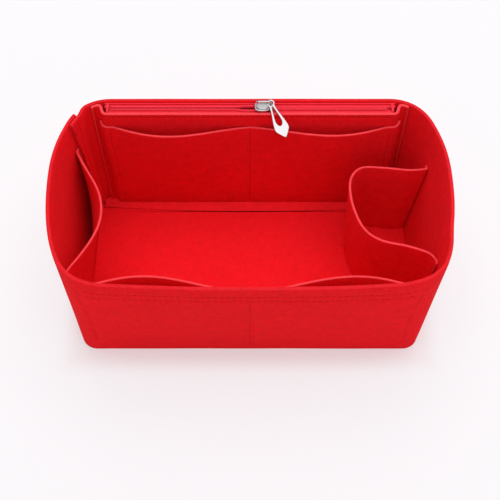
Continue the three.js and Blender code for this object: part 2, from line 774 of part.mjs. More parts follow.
buildBand();
const boardTop = buildFloor();
buildZipPanel();
buildBackPocket();
buildFrontPocket();
buildLeftPocket();
buildHolder(boardTop);
buildTapes();
buildCoil("zipper_coil_front", -1);
buildCoil("zipper_coil_rear", 1);
buildEndTabs();
const sliderGroup = new THREE.Group();
sliderGroup.position.set(sliderRest, zipDepth, 0);
group.add(sliderGroup);
const deckHeight = buildSlider(sliderGroup);
buildPull(sliderGroup, deckHeight);

export default group;
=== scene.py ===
"""Felt organizer insert for a purse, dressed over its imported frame.

The sizes in the classes are millimetres and the meshes are metres, on the frame's own axes:
+X along the tub to its bottle holder, +Y to the zipped back wall and +Z up.
"""

import logging
import math
from collections.abc import Callable
from dataclasses import dataclass
from enum import Enum
from functools import cached_property

import bpy
import numpy as np
from bpy.types import Material, Node, NodeSocket, NodeTree, Object
from mathutils import Matrix, Vector, noise

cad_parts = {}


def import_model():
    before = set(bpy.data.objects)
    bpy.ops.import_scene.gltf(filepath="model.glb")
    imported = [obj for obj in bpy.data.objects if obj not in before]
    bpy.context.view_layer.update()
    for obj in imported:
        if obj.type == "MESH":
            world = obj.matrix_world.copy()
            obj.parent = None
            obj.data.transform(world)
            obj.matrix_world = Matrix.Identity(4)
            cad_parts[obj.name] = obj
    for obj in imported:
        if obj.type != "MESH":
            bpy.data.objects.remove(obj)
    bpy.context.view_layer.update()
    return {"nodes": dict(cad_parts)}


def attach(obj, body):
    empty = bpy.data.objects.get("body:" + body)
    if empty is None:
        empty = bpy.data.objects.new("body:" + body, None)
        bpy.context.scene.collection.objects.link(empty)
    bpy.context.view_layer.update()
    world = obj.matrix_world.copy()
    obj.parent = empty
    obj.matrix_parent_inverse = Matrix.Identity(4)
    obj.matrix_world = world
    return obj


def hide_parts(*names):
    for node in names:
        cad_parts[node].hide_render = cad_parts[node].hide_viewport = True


Pair = tuple[float, float]
Triple = tuple[float, float, float]

LOG = logging.getLogger("organizer")
TWO_PI = 2.0 * math.pi
# The seed of the sheets' wavering.
SEED = 11
# Metres in a millimetre.
MM = 0.001
# Corners nearer to each other than this are one corner, in metres.
WELD = 1e-6
# The length of a Bezier handle on a quarter circle of radius 1.
CIRCLE_HANDLE = 0.5523
# The material slot of a piece's cut edges.
CUT_SLOT = 1
# Grid lines about a seam, how far other lines keep from them, and the least gap between lines.
SEAM_LINES = (-2.4, -1.1, 0.0, 1.1, 2.4)
SEAM_CLEAR = 0.45
LINE_GAP = 0.2


class Body(Enum):
    """The frame's bodies, which the pieces ride on."""

    TUB = "tub"
    SLIDER = "slider"
    PULL = "pull"


class Side(Enum):
    """The two faces of a sheet, seen along its path."""

    LEFT = 1
    RIGHT = -1


# Work in the viewport's manner


def deselect() -> None:
    """Deselect every object."""
    bpy.ops.object.select_all(action="DESELECT")


def activate(piece: Object) -> None:
    """Make one object the only selected one, and the active one.

    Args:
        piece: The object that the next operators act on.
    """
    deselect()
    piece.select_set(True)
    bpy.context.view_layer.objects.active = piece


def apply_modifiers(piece: Object) -> None:
    """Apply a piece's modifiers in their order.

    Args:
        piece: The object whose modifiers become mesh.
    """
    activate(piece)
    for modifier in list(piece.modifiers):
        bpy.ops.object.modifier_apply(modifier=modifier.name)


def smooth_by_angle(piece: Object, degrees: float = 40.0) -> None:
    """Shade a piece smooth, but for edges that turn by more than an angle."""
    activate(piece)
    bpy.ops.object.shade_smooth_by_angle(angle=math.radians(degrees))


def join(pieces: list[Object], name: str) -> Object:
    """Join meshes into one object.

    Args:
        pieces: The objects to join, the first of which stays.
        name: The joined object's name.

    Returns:
        The joined object.
    """
    activate(pieces[0])
    for piece in pieces[1:]:
        piece.select_set(True)
    bpy.ops.object.join()
    pieces[0].name = pieces[0].data.name = name
    return pieces[0]


def dress(piece: Object, body: Body, slot: str, finishes: list[Material], *nodes: str) -> Object:
    """Give a piece its materials and its body, and hide the solids that it stands for.

    Args:
        piece: The finished piece.
        body: The body that it rides on.
        slot: The record's material slot; not used.
        finishes: The materials for its material slots, in order.
        *nodes: The solids that it stands for.

    Returns:
        The same piece.
    """
    if list(piece.data.materials) != finishes:
        piece.data.materials.clear()
        for finish in finishes:
            piece.data.materials.append(finish)
    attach(piece, body.value)
    if nodes:
        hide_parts(*nodes)
    LOG.info("%s: %d faces on %s", piece.name, len(piece.data.polygons), body.value)
    return piece


def mesh_piece(name: str, points: np.ndarray, faces: list[tuple[int, ...]]) -> Object:
    """Make a smooth-shaded piece from corners and faces.

    Args:
        name: The piece's name.
        points: Its corners by three, in millimetres.
        faces: The corners of each face.

    Returns:
        The piece.
    """
    mesh = bpy.data.meshes.new(name)
    mesh.from_pydata((points * MM).tolist(), [], faces)
    mesh.shade_smooth()
    piece = bpy.data.objects.new(name, mesh)
    bpy.context.scene.collection.objects.link(piece)
    return piece


def face_outwards(piece: Object, weld: bool) -> None:
    """Turn every face of a closed shell outwards.

    Args:
        piece: The piece.
        weld: Whether its doubled corners are merged first.
    """
    activate(piece)
    bpy.ops.object.mode_set(mode="EDIT")
    bpy.ops.mesh.select_all(action="SELECT")
    if weld:
        bpy.ops.mesh.remove_doubles(threshold=WELD)
    bpy.ops.mesh.normals_make_consistent(inside=False)
    bpy.ops.object.mode_set(mode="OBJECT")


def grid_piece(name: str, points: np.ndarray, spans: np.ndarray) -> Object:
    """Add a grid and move its corners to a table of places.

    Args:
        name: The piece's name.
        points: Rows by columns by three, in millimetres.
        spans: Rows by columns by two, the places on the flat cut, in millimetres.

    Returns:
        The grid, with its flat places as its UV map, in metres.
    """
    rows, columns = points.shape[:2]
    deselect()
    bpy.ops.mesh.primitive_grid_add(x_subdivisions=columns - 1, y_subdivisions=rows - 1, size=1.0)
    piece = bpy.context.object
    piece.name = piece.data.name = name
    mesh = piece.data
    mesh.vertices.foreach_set("co", (points.reshape(-1, 3) * MM).ravel())
    corners = np.empty(len(mesh.loops), dtype=np.int32)
    mesh.loops.foreach_get("vertex_index", corners)
    flat = spans.reshape(-1, 2)[corners] * MM
    mesh.uv_layers[0].uv.foreach_set("vector", flat.ravel())
    mesh.update()
    return piece


def outline_plate(
    name: str, outlines: list[np.ndarray], thickness: float, rounding: float, rings: int = 2
) -> Object:
    """Cut a flat plate with rounded edges from closed outlines, about the height zero.

    Args:
        name: The piece's name.
        outlines: The outer outline and any holes, each points by two, in millimetres.
        thickness: The plate's full thickness.
        rounding: The radius of its edges.
        rings: The steps of the rounding.

    Returns:
        The plate, a closed mesh.
    """
    deselect()
    bpy.ops.curve.primitive_bezier_circle_add(radius=MM)
    piece = bpy.context.object
    curve = piece.data
    curve.splines.clear()
    for outline in outlines:
        line = curve.splines.new("POLY")
        line.points.add(len(outline) - 1)
        corners = np.c_[outline * MM, np.zeros(len(outline)), np.ones(len(outline))]
        line.points.foreach_set("co", corners.ravel())
        line.use_cyclic_u = True
    curve.dimensions = "2D"
    curve.fill_mode = "BOTH"
    curve.extrude = (thickness / 2.0 - rounding) * MM
    curve.bevel_depth = rounding * MM
    curve.bevel_resolution = rings
    curve.offset = -rounding * MM
    bpy.ops.object.convert(target="MESH")
    piece = bpy.context.object
    piece.name = piece.data.name = name
    face_outwards(piece, weld=True)
    smooth_by_angle(piece)
    return piece


def place(piece: Object, matrix: Matrix) -> Object:
    """Put a piece's place into its mesh.

    Args:
        piece: The piece, built about the origin.
        matrix: Its place, in metres.

    Returns:
        The same piece, with its object at the origin.
    """
    piece.data.transform(matrix)
    piece.data.update()
    return piece


def raised_plate(
    name: str, outlines: list[np.ndarray], foot: float, thickness: float, rounding: float, rings: int = 2
) -> Object:
    """Cut an outline plate whose under side stands at the height of its foot."""
    plate = outline_plate(name, outlines, thickness, rounding, rings)
    return place(plate, Matrix.Translation((0, 0, (foot + thickness / 2) * MM)))


def arc(radius: float, centre: Pair, turns: np.ndarray) -> list[Pair]:
    """Points on an arc about a centre, at turns in radians."""
    return [(centre[0] + radius * math.cos(turn), centre[1] + radius * math.sin(turn)) for turn in turns]


def lengths_along(points: np.ndarray) -> np.ndarray:
    """The length run at each point of a line, from 0 at its first."""
    return np.r_[0.0, np.cumsum(np.linalg.norm(np.diff(points, axis=0), axis=1))]


def eased(share: np.ndarray) -> np.ndarray:
    """A share from 0 to 1 that starts and ends gently."""
    return share * share * (3.0 - 2.0 * share)


def spline(
    before: np.ndarray, start: np.ndarray, end: np.ndarray, after: np.ndarray, part: np.ndarray | float
) -> np.ndarray:
    """Read a smooth curve between the middle two of four knots.

    Args:
        before: The knot before the two.
        start: The first of the two.
        end: The second of the two.
        after: The knot after the two.
        part: How far from the first to the second, from 0 to 1.

    Returns:
        The point there.
    """
    return 0.5 * (
        2 * start
        + (end - before) * part
        + (2 * before - 5 * start + 4 * end - after) * part**2
        + (3 * start - before - 3 * end + after) * part**3
    )


def smooth_closed(knots: list[Pair], steps: int) -> np.ndarray:
    """Draw a smooth closed outline through knots.

    Args:
        knots: The places that it passes through.
        steps: The points between two knots.

    Returns:
        The outline's points by two.
    """
    table = np.array(knots, dtype=float)
    ahead, second, behind = (np.roll(table, turn, axis=0) for turn in (-1, -2, 1))
    shares = np.linspace(0.0, 1.0, steps, endpoint=False)
    points = [spline(behind, table, ahead, second, share) for share in shares]
    return np.stack(points, axis=1).reshape(-1, 2)


def smooth_open(knots: np.ndarray, shares: np.ndarray) -> np.ndarray:
    """Read a smooth open curve through knots at shares of its length in knots.

    Args:
        knots: The places that it passes through, points by two.
        shares: The places to read, from 0 to 1.

    Returns:
        The points at those shares.
    """
    last = len(knots) - 1
    at = np.clip(shares, 0.0, 1.0) * last
    low = np.minimum(at.astype(int), last - 1)
    before, after = knots[np.maximum(low - 1, 0)], knots[np.minimum(low + 2, last)]
    return spline(before, knots[low], knots[low + 1], after, (at - low)[:, None])


def bezier(controls: list, shares: np.ndarray) -> np.ndarray:
    """Read a Bezier curve of any degree.

    Args:
        controls: Its control points.
        shares: The places to read, from 0 to 1.

    Returns:
        The points at those shares, by two.
    """
    part = np.asarray(shares, dtype=float)[:, None]
    points = [np.tile(np.asarray(control, dtype=float), (len(part), 1)) for control in controls]
    while len(points) > 1:
        points = [(1 - part) * low + part * high for low, high in zip(points, points[1:])]
    return points[0]


def offset_path(path: np.ndarray, distance: float) -> np.ndarray:
    """Offset a plan path square to itself, to its left.

    Args:
        path: The path's points by two.
        distance: How far to the left.

    Returns:
        The offset points.
    """
    along = np.gradient(path, axis=0)
    along /= np.linalg.norm(along, axis=1)[:, None]
    return path + distance * np.c_[-along[:, 1], along[:, 0]]


def refined(values: np.ndarray, centres: list[float], reach: float) -> np.ndarray:
    """Add close lines about each seam to a run of grid lines.

    Args:
        values: The grid lines, in rising order.
        centres: The places of the seams.
        reach: A millimetre on this axis.

    Returns:
        The merged lines, none closer than a fifth of a millimetre.
    """
    extra = [centre + step * reach for centre in centres for step in SEAM_LINES]
    inside = [value for value in extra if values[0] < value < values[-1]]
    clear = [value for value in values if all(abs(value - other) > SEAM_CLEAR * reach for other in inside)]
    lines = sorted(inside + clear)
    merged = [lines[0]]
    for value in lines:
        if value - merged[-1] > LINE_GAP * reach:
            merged.append(value)
    merged[0], merged[-1] = values[0], values[-1]
    return np.array(merged)


# The tub's plan


@dataclass(frozen=True)
class TubPlan:
    """The tub's plan: a rounded base that flares to a bowed rim.

    Stations number the plan from 0 at the middle of the front, positive to the right.
    """

    height: float = 118.0
    base_half_length: float = 132.0
    base_front: float = 70.7
    base_back: float = 75.3
    corner: float = 12.5
    rim_half_length: float = 145.2
    rim_half_depth: float = 82.8
    corner_swell: float = 3.2
    steps: tuple[int, ...] = (4, 6, 6, 4, 6, 2)
    fine: int = 8
    tangent_reach: int = 3
    search_steps: int = 400
    band: float = 3.0
    gap: float = 0.3
    rim_shares: tuple = (
        ((0, -1), (0.38, -1), (0.682, -0.964)),
        ((0.682, -0.964), (0.826, -0.936), (0.902, -0.821), (0.949, -0.542)),
        ((0.949, -0.542), (1, -0.239), (1, 0.19)),
        ((1, 0.19), (1, 0.448), (0.952, 0.68)),
        ((0.952, 0.68), (0.928, 0.82), (0.864, 1), (0.722, 1)),
        ((0.722, 1), (0.36, 1), (0, 1)),
    )

    @property
    def last(self) -> int:
        """The station at the middle of the back."""
        return sum(self.steps)

    @property
    def widest(self) -> int:
        """The station where the side wall stands furthest out."""
        return sum(self.steps[:3])

    def _base_sections(self) -> list:
        """Half of the base's outline, in the rim's sections.

        Returns:
            The control points of each section.
        """
        length, front, back, radius = self.base_half_length, -self.base_front, self.base_back, self.corner
        flat, handle = length - radius, radius * CIRCLE_HANDLE
        low, high = front + radius, back - radius
        side = self.rim_shares[3][0][1] * self.rim_half_depth
        return [
            [(0, front), (flat, front)],
            [(flat, front), (flat + handle, front), (length, low - handle), (length, low)],
            [(length, low), (length, side)],
            [(length, side), (length, high)],
            [(length, high), (length, high + handle), (flat + handle, back), (flat, back)],
            [(flat, back), (0, back)],
        ]

    def _loop(self, sections: list) -> np.ndarray:
        """Run the sections round the whole plan.

        Args:
            sections: The control points of each section of the right half.

        Returns:
            Points by two from the station -last up to just before +last.
        """
        parts = []
        for count, controls in zip(self.steps, sections):
            parts.append(bezier(controls, np.arange(count * self.fine) / (count * self.fine)))
        half = np.vstack(parts + [np.array([sections[-1][-1]], dtype=float)])
        left = half[1:][::-1] * (-1, 1)
        return np.vstack([left, half[:-1]])

    @cached_property
    def base_loop(self) -> np.ndarray:
        """The outline on the ground."""
        return self._loop(self._base_sections())

    @cached_property
    def rim_loop(self) -> np.ndarray:
        """The outline of the rim, fuller at its front right corner than at its left one.

        Returns:
            Points by two.
        """
        length, depth = self.rim_half_length, self.rim_half_depth
        loop = self._loop([[(x * length, y * depth) for x, y in section] for section in self.rim_shares])
        first, last = self.steps[0], self.widest - self.steps[3]
        stations = np.arange(len(loop)) / self.fine - self.last
        share = np.clip((stations - first) / (last - first), 0.0, 1.0)
        loop[:, 0] += self.corner_swell * np.sin(math.pi * share) ** 2
        return loop

    def level(self, height: float) -> tuple[np.ndarray, np.ndarray, np.ndarray]:
        """Read the plan of the wall's outer face at a height.

        Args:
            height: The height over the ground.

        Returns:
            The stations, their points and their inward normals.
        """
        share = height / self.height
        points = (1 - share) * self.base_loop + share * self.rim_loop
        reach = self.tangent_reach
        along = np.roll(points, -reach, axis=0) - np.roll(points, reach, axis=0)
        along /= np.linalg.norm(along, axis=1)[:, None]
        stations = np.arange(len(points)) / self.fine - self.last
        return stations, points, np.c_[-along[:, 1], along[:, 0]]

    def at(self, stations: np.ndarray, height: float, inset: np.ndarray | float) -> np.ndarray:
        """Read wall points at stations.

        Args:
            stations: The stations, which may run past the middle of the back.
            height: The height over the ground.
            inset: How far inside the outer face.

        Returns:
            The points by two.
        """
        known, points, inward = self.level(height)
        turn = 2.0 * self.last

        def read(table: np.ndarray) -> np.ndarray:
            """Read both columns of a table at the stations."""
            return np.c_[tuple(np.interp(stations, known, column, period=turn) for column in table.T)]

        return read(points) + read(inward) * np.reshape(inset, (-1, 1))

    def find(self, axis: int, target: np.ndarray, span: Pair, height: float, inset: float) -> np.ndarray:
        """Find the stations of one half where a coordinate meets its target.

        Args:
            axis: 0 for X, counted outwards from the middle, and 1 for Y.
            target: The coordinates to find.
            span: The first and the last station to look between.
            height: The height over the ground.
            inset: How far inside the outer face.

        Returns:
            The stations.
        """
        stations = np.linspace(span[0], span[1], self.search_steps)
        values = self.at(stations, height, inset)[:, axis]
        if axis == 0:
            values = np.abs(values)
        order = np.argsort(values)
        return np.interp(target, values[order], stations[order])

    def side(self, depth: np.ndarray, height: float, inset: float) -> np.ndarray:
        """Stations of the right side wall at a depth along Y."""
        return self.find(1, depth, (0.0, float(self.last)), height, inset)

    def front(self, length: np.ndarray, height: float, inset: float) -> np.ndarray:
        """Find the stations of the front wall at lengths along X.

        Args:
            length: The lengths, which may be on either side.
            height: The height over the ground.
            inset: How far inside the outer face.

        Returns:
            The stations.
        """
        widest = float(self.widest)
        right = self.find(0, np.maximum(length, 0.0), (0.0, widest), height, inset)
        left = self.find(0, np.maximum(-length, 0.0), (0.0, -widest), height, inset)
        return np.where(np.asarray(length) < 0.0, left, right)

    def back(self, length: np.ndarray, height: float, inset: float) -> np.ndarray:
        """Stations of the back wall's right half at a length along X."""
        return self.find(0, length, (float(self.widest), float(self.last)), height, inset)

    def back_depth(self, length: np.ndarray, height: float, inset: float) -> np.ndarray:
        """Depths along Y of the back wall at lengths along X."""
        return self.at(self.back(np.abs(length), height, inset), height, inset)[:, 1]


# Shader groups and finishes


def wire(tree: NodeTree, node: Node, inputs: dict) -> None:
    """Set a node's inputs, or wire those that are given an output socket.

    Args:
        tree: The node's tree.
        node: The node.
        inputs: Values or output sockets, by the input's name or number.
    """
    for key, value in inputs.items():
        if isinstance(value, NodeSocket):
            tree.links.new(value, node.inputs[key])
        else:
            node.inputs[key].default_value = value


def add_node(tree: NodeTree, kind: str, settings: dict | None = None, inputs: dict | None = None) -> Node:
    """Add a shader node and wire or set its inputs.

    Args:
        tree: The tree that gets the node.
        kind: The node's type, without its leading words.
        settings: Attributes to set on it.
        inputs: Values or output sockets for its inputs, by name or number.

    Returns:
        The node.
    """
    node = tree.nodes.new("ShaderNode" + kind)
    for key, value in (settings or {}).items():
        setattr(node, key, value)
    wire(tree, node, inputs or {})
    return node


def new_group(name: str, inputs: dict, outputs: dict) -> tuple:
    """Start a shader group with named sockets.

    Args:
        name: The group's name.
        inputs: Socket kinds and defaults by name.
        outputs: Socket kinds by name.

    Returns:
        The tree, its input node's sockets and its output node.
    """
    tree = bpy.data.node_groups.new(name, "ShaderNodeTree")
    for label, (kind, value) in inputs.items():
        socket = tree.interface.new_socket(name=label, in_out="INPUT", socket_type="NodeSocket" + kind)
        socket.default_value = value
    for label, kind in outputs.items():
        tree.interface.new_socket(name=label, in_out="OUTPUT", socket_type="NodeSocket" + kind)
    start = tree.nodes.new("NodeGroupInput")
    end = tree.nodes.new("NodeGroupOutput")
    return tree, start.outputs, end


def math_node(tree: NodeTree, operation: str, *values: object) -> NodeSocket:
    """A Math node's output. Its values are numbers or sockets."""
    return add_node(tree, "Math", {"operation": operation}, dict(enumerate(values))).outputs[0]


def own_coords(tree: NodeTree) -> NodeSocket:
    """The piece's own coordinates, in metres."""
    return add_node(tree, "TexCoord").outputs["Object"]


def noise_value(
    tree: NodeTree, coords: NodeSocket, scale: object, detail: float,
    rough: float = 0.5, twist: float = 0.0,
) -> NodeSocket:
    """A noise's value, about a half. Its scale is a number or a socket."""
    inputs = {"Vector": coords, "Scale": scale, "Detail": detail, "Roughness": rough, "Distortion": twist}
    return add_node(tree, "TexNoise", {}, inputs).outputs["Fac"]


def shaded(tree: NodeTree, color: object, shade: NodeSocket) -> NodeSocket:
    """A colour times a shade."""
    return add_node(tree, "VectorMath", {"operation": "SCALE"}, {0: color, "Scale": shade}).outputs[0]


def eased_range(tree: NodeTree, value: NodeSocket, span: Pair, result: Pair = (0.0, 1.0)) -> NodeSocket:
    """Map a value gently from one range to another.

    Args:
        tree: The tree that gets the node.
        value: The value.
        span: The range that it is read over.
        result: What the ends of that range become.

    Returns:
        The mapped value.
    """
    ends = ("From Min", "From Max", "To Min", "To Max")
    inputs = {"Value": value, **dict(zip(ends, (*span, *result)))}
    return add_node(tree, "MapRange", {"interpolation_type": "SMOOTHSTEP"}, inputs).outputs[0]


def either(tree: NodeTree, share: NodeSocket, off: object, on: object) -> NodeSocket:
    """The first of two values where the share is 0, and the second where it is 1."""
    return add_node(tree, "Mix", {"data_type": "FLOAT"}, {0: share, 2: off, 3: on}).outputs[0]


class FeltGroup:
    """Needled felt: short tangled fibres, a soft mottle and broad drifts of shade."""

    NAME = "needled_felt"
    FINE_NOISE = (3.0, 0.7)
    STRAND_SHARE = 0.42
    STRAND_NOISE = (2.0, 0.5, 1.8)
    STRAND_SHARPNESS = 9.0
    PATCH_NOISE = (150.0, 3.0, 0.6)
    DRIFT_NOISE = (16.0, 2.0, 0.5)
    FINE_SHADE, PATCH_SHADE, DRIFT_SHADE = 1.1, 0.9, 0.45
    FINE_RISE, STRAND_RISE, PATCH_RISE = 0.8, 0.35, 0.5
    ROUGHNESS, ROUGHNESS_SPREAD = 0.93, 0.12

    @classmethod
    def tree(cls) -> NodeTree:
        """Build the group once.

        Returns:
            The shader group.
        """
        if cls.NAME in bpy.data.node_groups:
            return bpy.data.node_groups[cls.NAME]
        tree, given, end = new_group(
            cls.NAME,
            {
                "Color": ("Color", (0.8, 0.02, 0.03, 1.0)),
                "Fibre Color": ("Color", (1.0, 0.2, 0.2, 1.0)),
                "Fibre Scale": ("Float", 900.0),
                "Mottle": ("Float", 0.25),
                "Fibres": ("Float", 0.15),
            },
            {"Color": "Color", "Roughness": "Float", "Height": "Float"},
        )
        coords = own_coords(tree)
        strand_scale = math_node(tree, "MULTIPLY", given["Fibre Scale"], cls.STRAND_SHARE)
        fine, strand, patch, drift = (
            math_node(tree, "SUBTRACT", noise_value(tree, coords, *noise_settings), 0.5)
            for noise_settings in (
                (given["Fibre Scale"], *cls.FINE_NOISE),
                (strand_scale, *cls.STRAND_NOISE),
                cls.PATCH_NOISE,
                cls.DRIFT_NOISE,
            )
        )
        off = math_node(tree, "MULTIPLY", math_node(tree, "ABSOLUTE", strand), cls.STRAND_SHARPNESS)
        ridge = math_node(tree, "MAXIMUM", math_node(tree, "SUBTRACT", 1.0, off), 0.0)
        shade = math_node(tree, "MULTIPLY", fine, cls.FINE_SHADE)
        shade = math_node(tree, "MULTIPLY_ADD", patch, cls.PATCH_SHADE, shade)
        shade = math_node(tree, "MULTIPLY_ADD", drift, cls.DRIFT_SHADE, shade)
        shade = math_node(tree, "MULTIPLY_ADD", shade, given["Mottle"], 1.0)
        lifted = add_node(
            tree, "Mix", {"data_type": "RGBA", "clamp_factor": True},
            {
                0: math_node(tree, "MULTIPLY", ridge, given["Fibres"]),
                6: shaded(tree, given["Color"], shade),
                7: given["Fibre Color"],
            },
        )
        height = math_node(tree, "MULTIPLY", ridge, cls.STRAND_RISE)
        height = math_node(tree, "MULTIPLY_ADD", fine, cls.FINE_RISE, height)
        height = math_node(tree, "MULTIPLY_ADD", patch, cls.PATCH_RISE, height)
        rough = math_node(tree, "MULTIPLY_ADD", fine, cls.ROUGHNESS_SPREAD, cls.ROUGHNESS)
        wire(tree, end, {"Color": lifted.outputs[2], "Roughness": rough, "Height": height})
        return tree


class MetalGroup:
    """Bright plating: faint handling marks and a slight casting ripple."""

    NAME = "bright_plating"
    MARK_STRETCH = (1.0, 0.2, 1.0)
    MARK_NOISE = (2600.0, 4.0)
    RIPPLE_NOISE = (260.0, 1.0)

    @classmethod
    def tree(cls) -> NodeTree:
        """Build the group once.

        Returns:
            The shader group.
        """
        if cls.NAME in bpy.data.node_groups:
            return bpy.data.node_groups[cls.NAME]
        tree, given, end = new_group(
            cls.NAME,
            {"Roughness": ("Float", 0.1), "Marks": ("Float", 0.1)},
            {"Roughness": "Float", "Height": "Float"},
        )
        coords = own_coords(tree)
        stretched = add_node(tree, "Mapping", {}, {"Vector": coords, "Scale": cls.MARK_STRETCH}).outputs[0]
        marks = noise_value(tree, stretched, *cls.MARK_NOISE)
        rough = math_node(tree, "MULTIPLY_ADD", marks, given["Marks"], given["Roughness"])
        wire(tree, end, {"Roughness": rough, "Height": noise_value(tree, coords, *cls.RIPPLE_NOISE)})
        return tree


@dataclass(frozen=True)
class Finish:
    """A finish with a Principled shader at its heart. Depths of bumps are millimetres."""

    name: str
    bump_strength: float = 0.5
    bump_depth: float = 0.15

    def start(self) -> tuple[Material, NodeTree, Node]:
        """Start the material.

        Returns:
            The material, its tree and its Principled node.
        """
        material = bpy.data.materials.new(self.name)
        material.use_nodes = True
        return material, material.node_tree, material.node_tree.nodes["Principled BSDF"]

    def bump(self, tree: NodeTree, height: NodeSocket) -> NodeSocket:
        """The normal that a height over the surface gives."""
        inputs = {"Strength": self.bump_strength, "Distance": self.bump_depth * MM, "Height": height}
        return add_node(tree, "Bump", {}, inputs).outputs[0]


@dataclass(frozen=True)
class FeltFinish(Finish):
    """Needled felt, on its faces or along a raw cut."""

    bump_strength: float = 0.55
    bump_depth: float = 0.28
    color: Triple = (0.80, 0.006, 0.011)
    fibre: Triple = (0.93, 0.045, 0.06)
    fibre_scale: float = 950.0
    mottle: float = 0.36
    fibres: float = 0.2
    specular: float = 0.03
    sheen: float = 0.015
    sheen_roughness: float = 0.6
    sheen_tint: Triple = (1.0, 0.35, 0.35)

    def build(self) -> Material:
        """Build the material.

        Returns:
            The felt's material.
        """
        material, tree, shader = self.start()
        felt = add_node(
            tree, "Group", {"node_tree": FeltGroup.tree()},
            {
                "Color": (*self.color, 1.0),
                "Fibre Color": (*self.fibre, 1.0),
                "Fibre Scale": self.fibre_scale,
                "Mottle": self.mottle,
                "Fibres": self.fibres,
            },
        ).outputs
        wire(tree, shader, {
            "Base Color": felt["Color"],
            "Roughness": felt["Roughness"],
            "Specular IOR Level": self.specular,
            "Sheen Weight": self.sheen,
            "Sheen Roughness": self.sheen_roughness,
            "Sheen Tint": (*self.sheen_tint, 1.0),
            "Normal": self.bump(tree, felt["Height"]),
        })
        return material


@dataclass(frozen=True)
class TapeFinish(Finish):
    """Woven tape: fine warp along the zipper and weft across it."""

    # Lighter than the felt: partly the tape's own pinker tone, partly painted light that lifts the shade in
    # the recess under the rim.
    color: Triple = (0.92, 0.035, 0.06)
    thread: float = 0.55
    shade: float = 0.95
    shade_spread: float = 0.16
    roughness: float = 0.8
    specular: float = 0.1

    def build(self) -> Material:
        """Build the material.

        Returns:
            The tape's material.
        """
        material, tree, shader = self.start()
        split = add_node(tree, "SeparateXYZ", {}, {0: own_coords(tree)}).outputs
        turns = TWO_PI / (self.thread * MM)
        warp = math_node(tree, "SINE", math_node(tree, "MULTIPLY", split[0], turns))
        across = math_node(tree, "ADD", split[1], split[2])
        weft = math_node(tree, "SINE", math_node(tree, "MULTIPLY", across, turns))
        weave = math_node(tree, "MULTIPLY", warp, weft)
        shade = math_node(tree, "MULTIPLY_ADD", weave, self.shade_spread, self.shade)
        wire(tree, shader, {
            "Base Color": shaded(tree, self.color, shade),
            "Roughness": self.roughness,
            "Specular IOR Level": self.specular,
            "Normal": self.bump(tree, weave),
        })
        return material


@dataclass(frozen=True)
class ThreadFinish(Finish):
    """Twisted sewing thread or moulded coil filament."""

    bump_strength: float = 0.25
    bump_depth: float = 0.06
    # Darker than the felt that it is dyed to: painted shade of the dimples where the stitches sink in.
    color: Triple = (0.42, 0.003, 0.006)
    least_roughness: float = 0.53
    roughness_spread: float = 0.15
    specular: float = 0.04
    strand: float = 0.5
    shade_spread: float = 0.25
    fuzz_detail: float = 2.0

    def build(self) -> Material:
        """Build the material.

        Returns:
            The thread's material.
        """
        material, tree, shader = self.start()
        coords = own_coords(tree)
        fuzz = noise_value(tree, coords, 1.0 / (self.strand * MM), self.fuzz_detail)
        split = add_node(tree, "SeparateXYZ", {}, {0: coords}).outputs
        slant = math_node(tree, "ADD", math_node(tree, "ADD", split[0], split[1]), split[2])
        ply = math_node(tree, "SINE", math_node(tree, "MULTIPLY", slant, TWO_PI / (self.strand * MM)))
        shade = math_node(tree, "MULTIPLY_ADD", fuzz, self.shade_spread, 1.0 - self.shade_spread / 2.0)
        wire(tree, shader, {
            "Base Color": shaded(tree, self.color, shade),
            "Roughness": math_node(tree, "MULTIPLY_ADD", fuzz, self.roughness_spread, self.least_roughness),
            "Specular IOR Level": self.specular,
            "Normal": self.bump(tree, ply),
        })
        return material


@dataclass(frozen=True)
class PlatedFinish(Finish):
    """Bright plated zinc, as cast and polished."""

    bump_strength: float = 0.25
    bump_depth: float = 0.2
    color: Triple = (0.70, 0.695, 0.70)
    roughness: float = 0.1
    marks: float = 0.1

    def build(self) -> Material:
        """Build the material.

        Returns:
            The metal's material.
        """
        material, tree, shader = self.start()
        inputs = {"Roughness": self.roughness, "Marks": self.marks}
        plating = add_node(tree, "Group", {"node_tree": MetalGroup.tree()}, inputs).outputs
        wire(tree, shader, {
            "Base Color": (*self.color, 1.0),
            "Metallic": 1.0,
            "Roughness": plating["Roughness"],
            "Normal": self.bump(tree, plating["Height"]),
        })
        return material


@dataclass(frozen=True)
class SheetPlasticFinish(Finish):
    """Thin calendered plastic sheet, lightly grained."""

    bump_strength: float = 0.3
    bump_depth: float = 0.1
    color: Triple = (0.05, 0.05, 0.055)
    grain_noise: Pair = (900.0, 3.0)
    least_roughness: float = 0.5
    roughness_spread: float = 0.2

    def build(self) -> Material:
        """Build the material.

        Returns:
            The stiffener's material.
        """
        material, tree, shader = self.start()
        grain = noise_value(tree, own_coords(tree), *self.grain_noise)
        wire(tree, shader, {
            "Base Color": (*self.color, 1.0),
            "Roughness": math_node(tree, "MULTIPLY_ADD", grain, self.roughness_spread, self.least_roughness),
            "Normal": self.bump(tree, grain),
        })
        return material


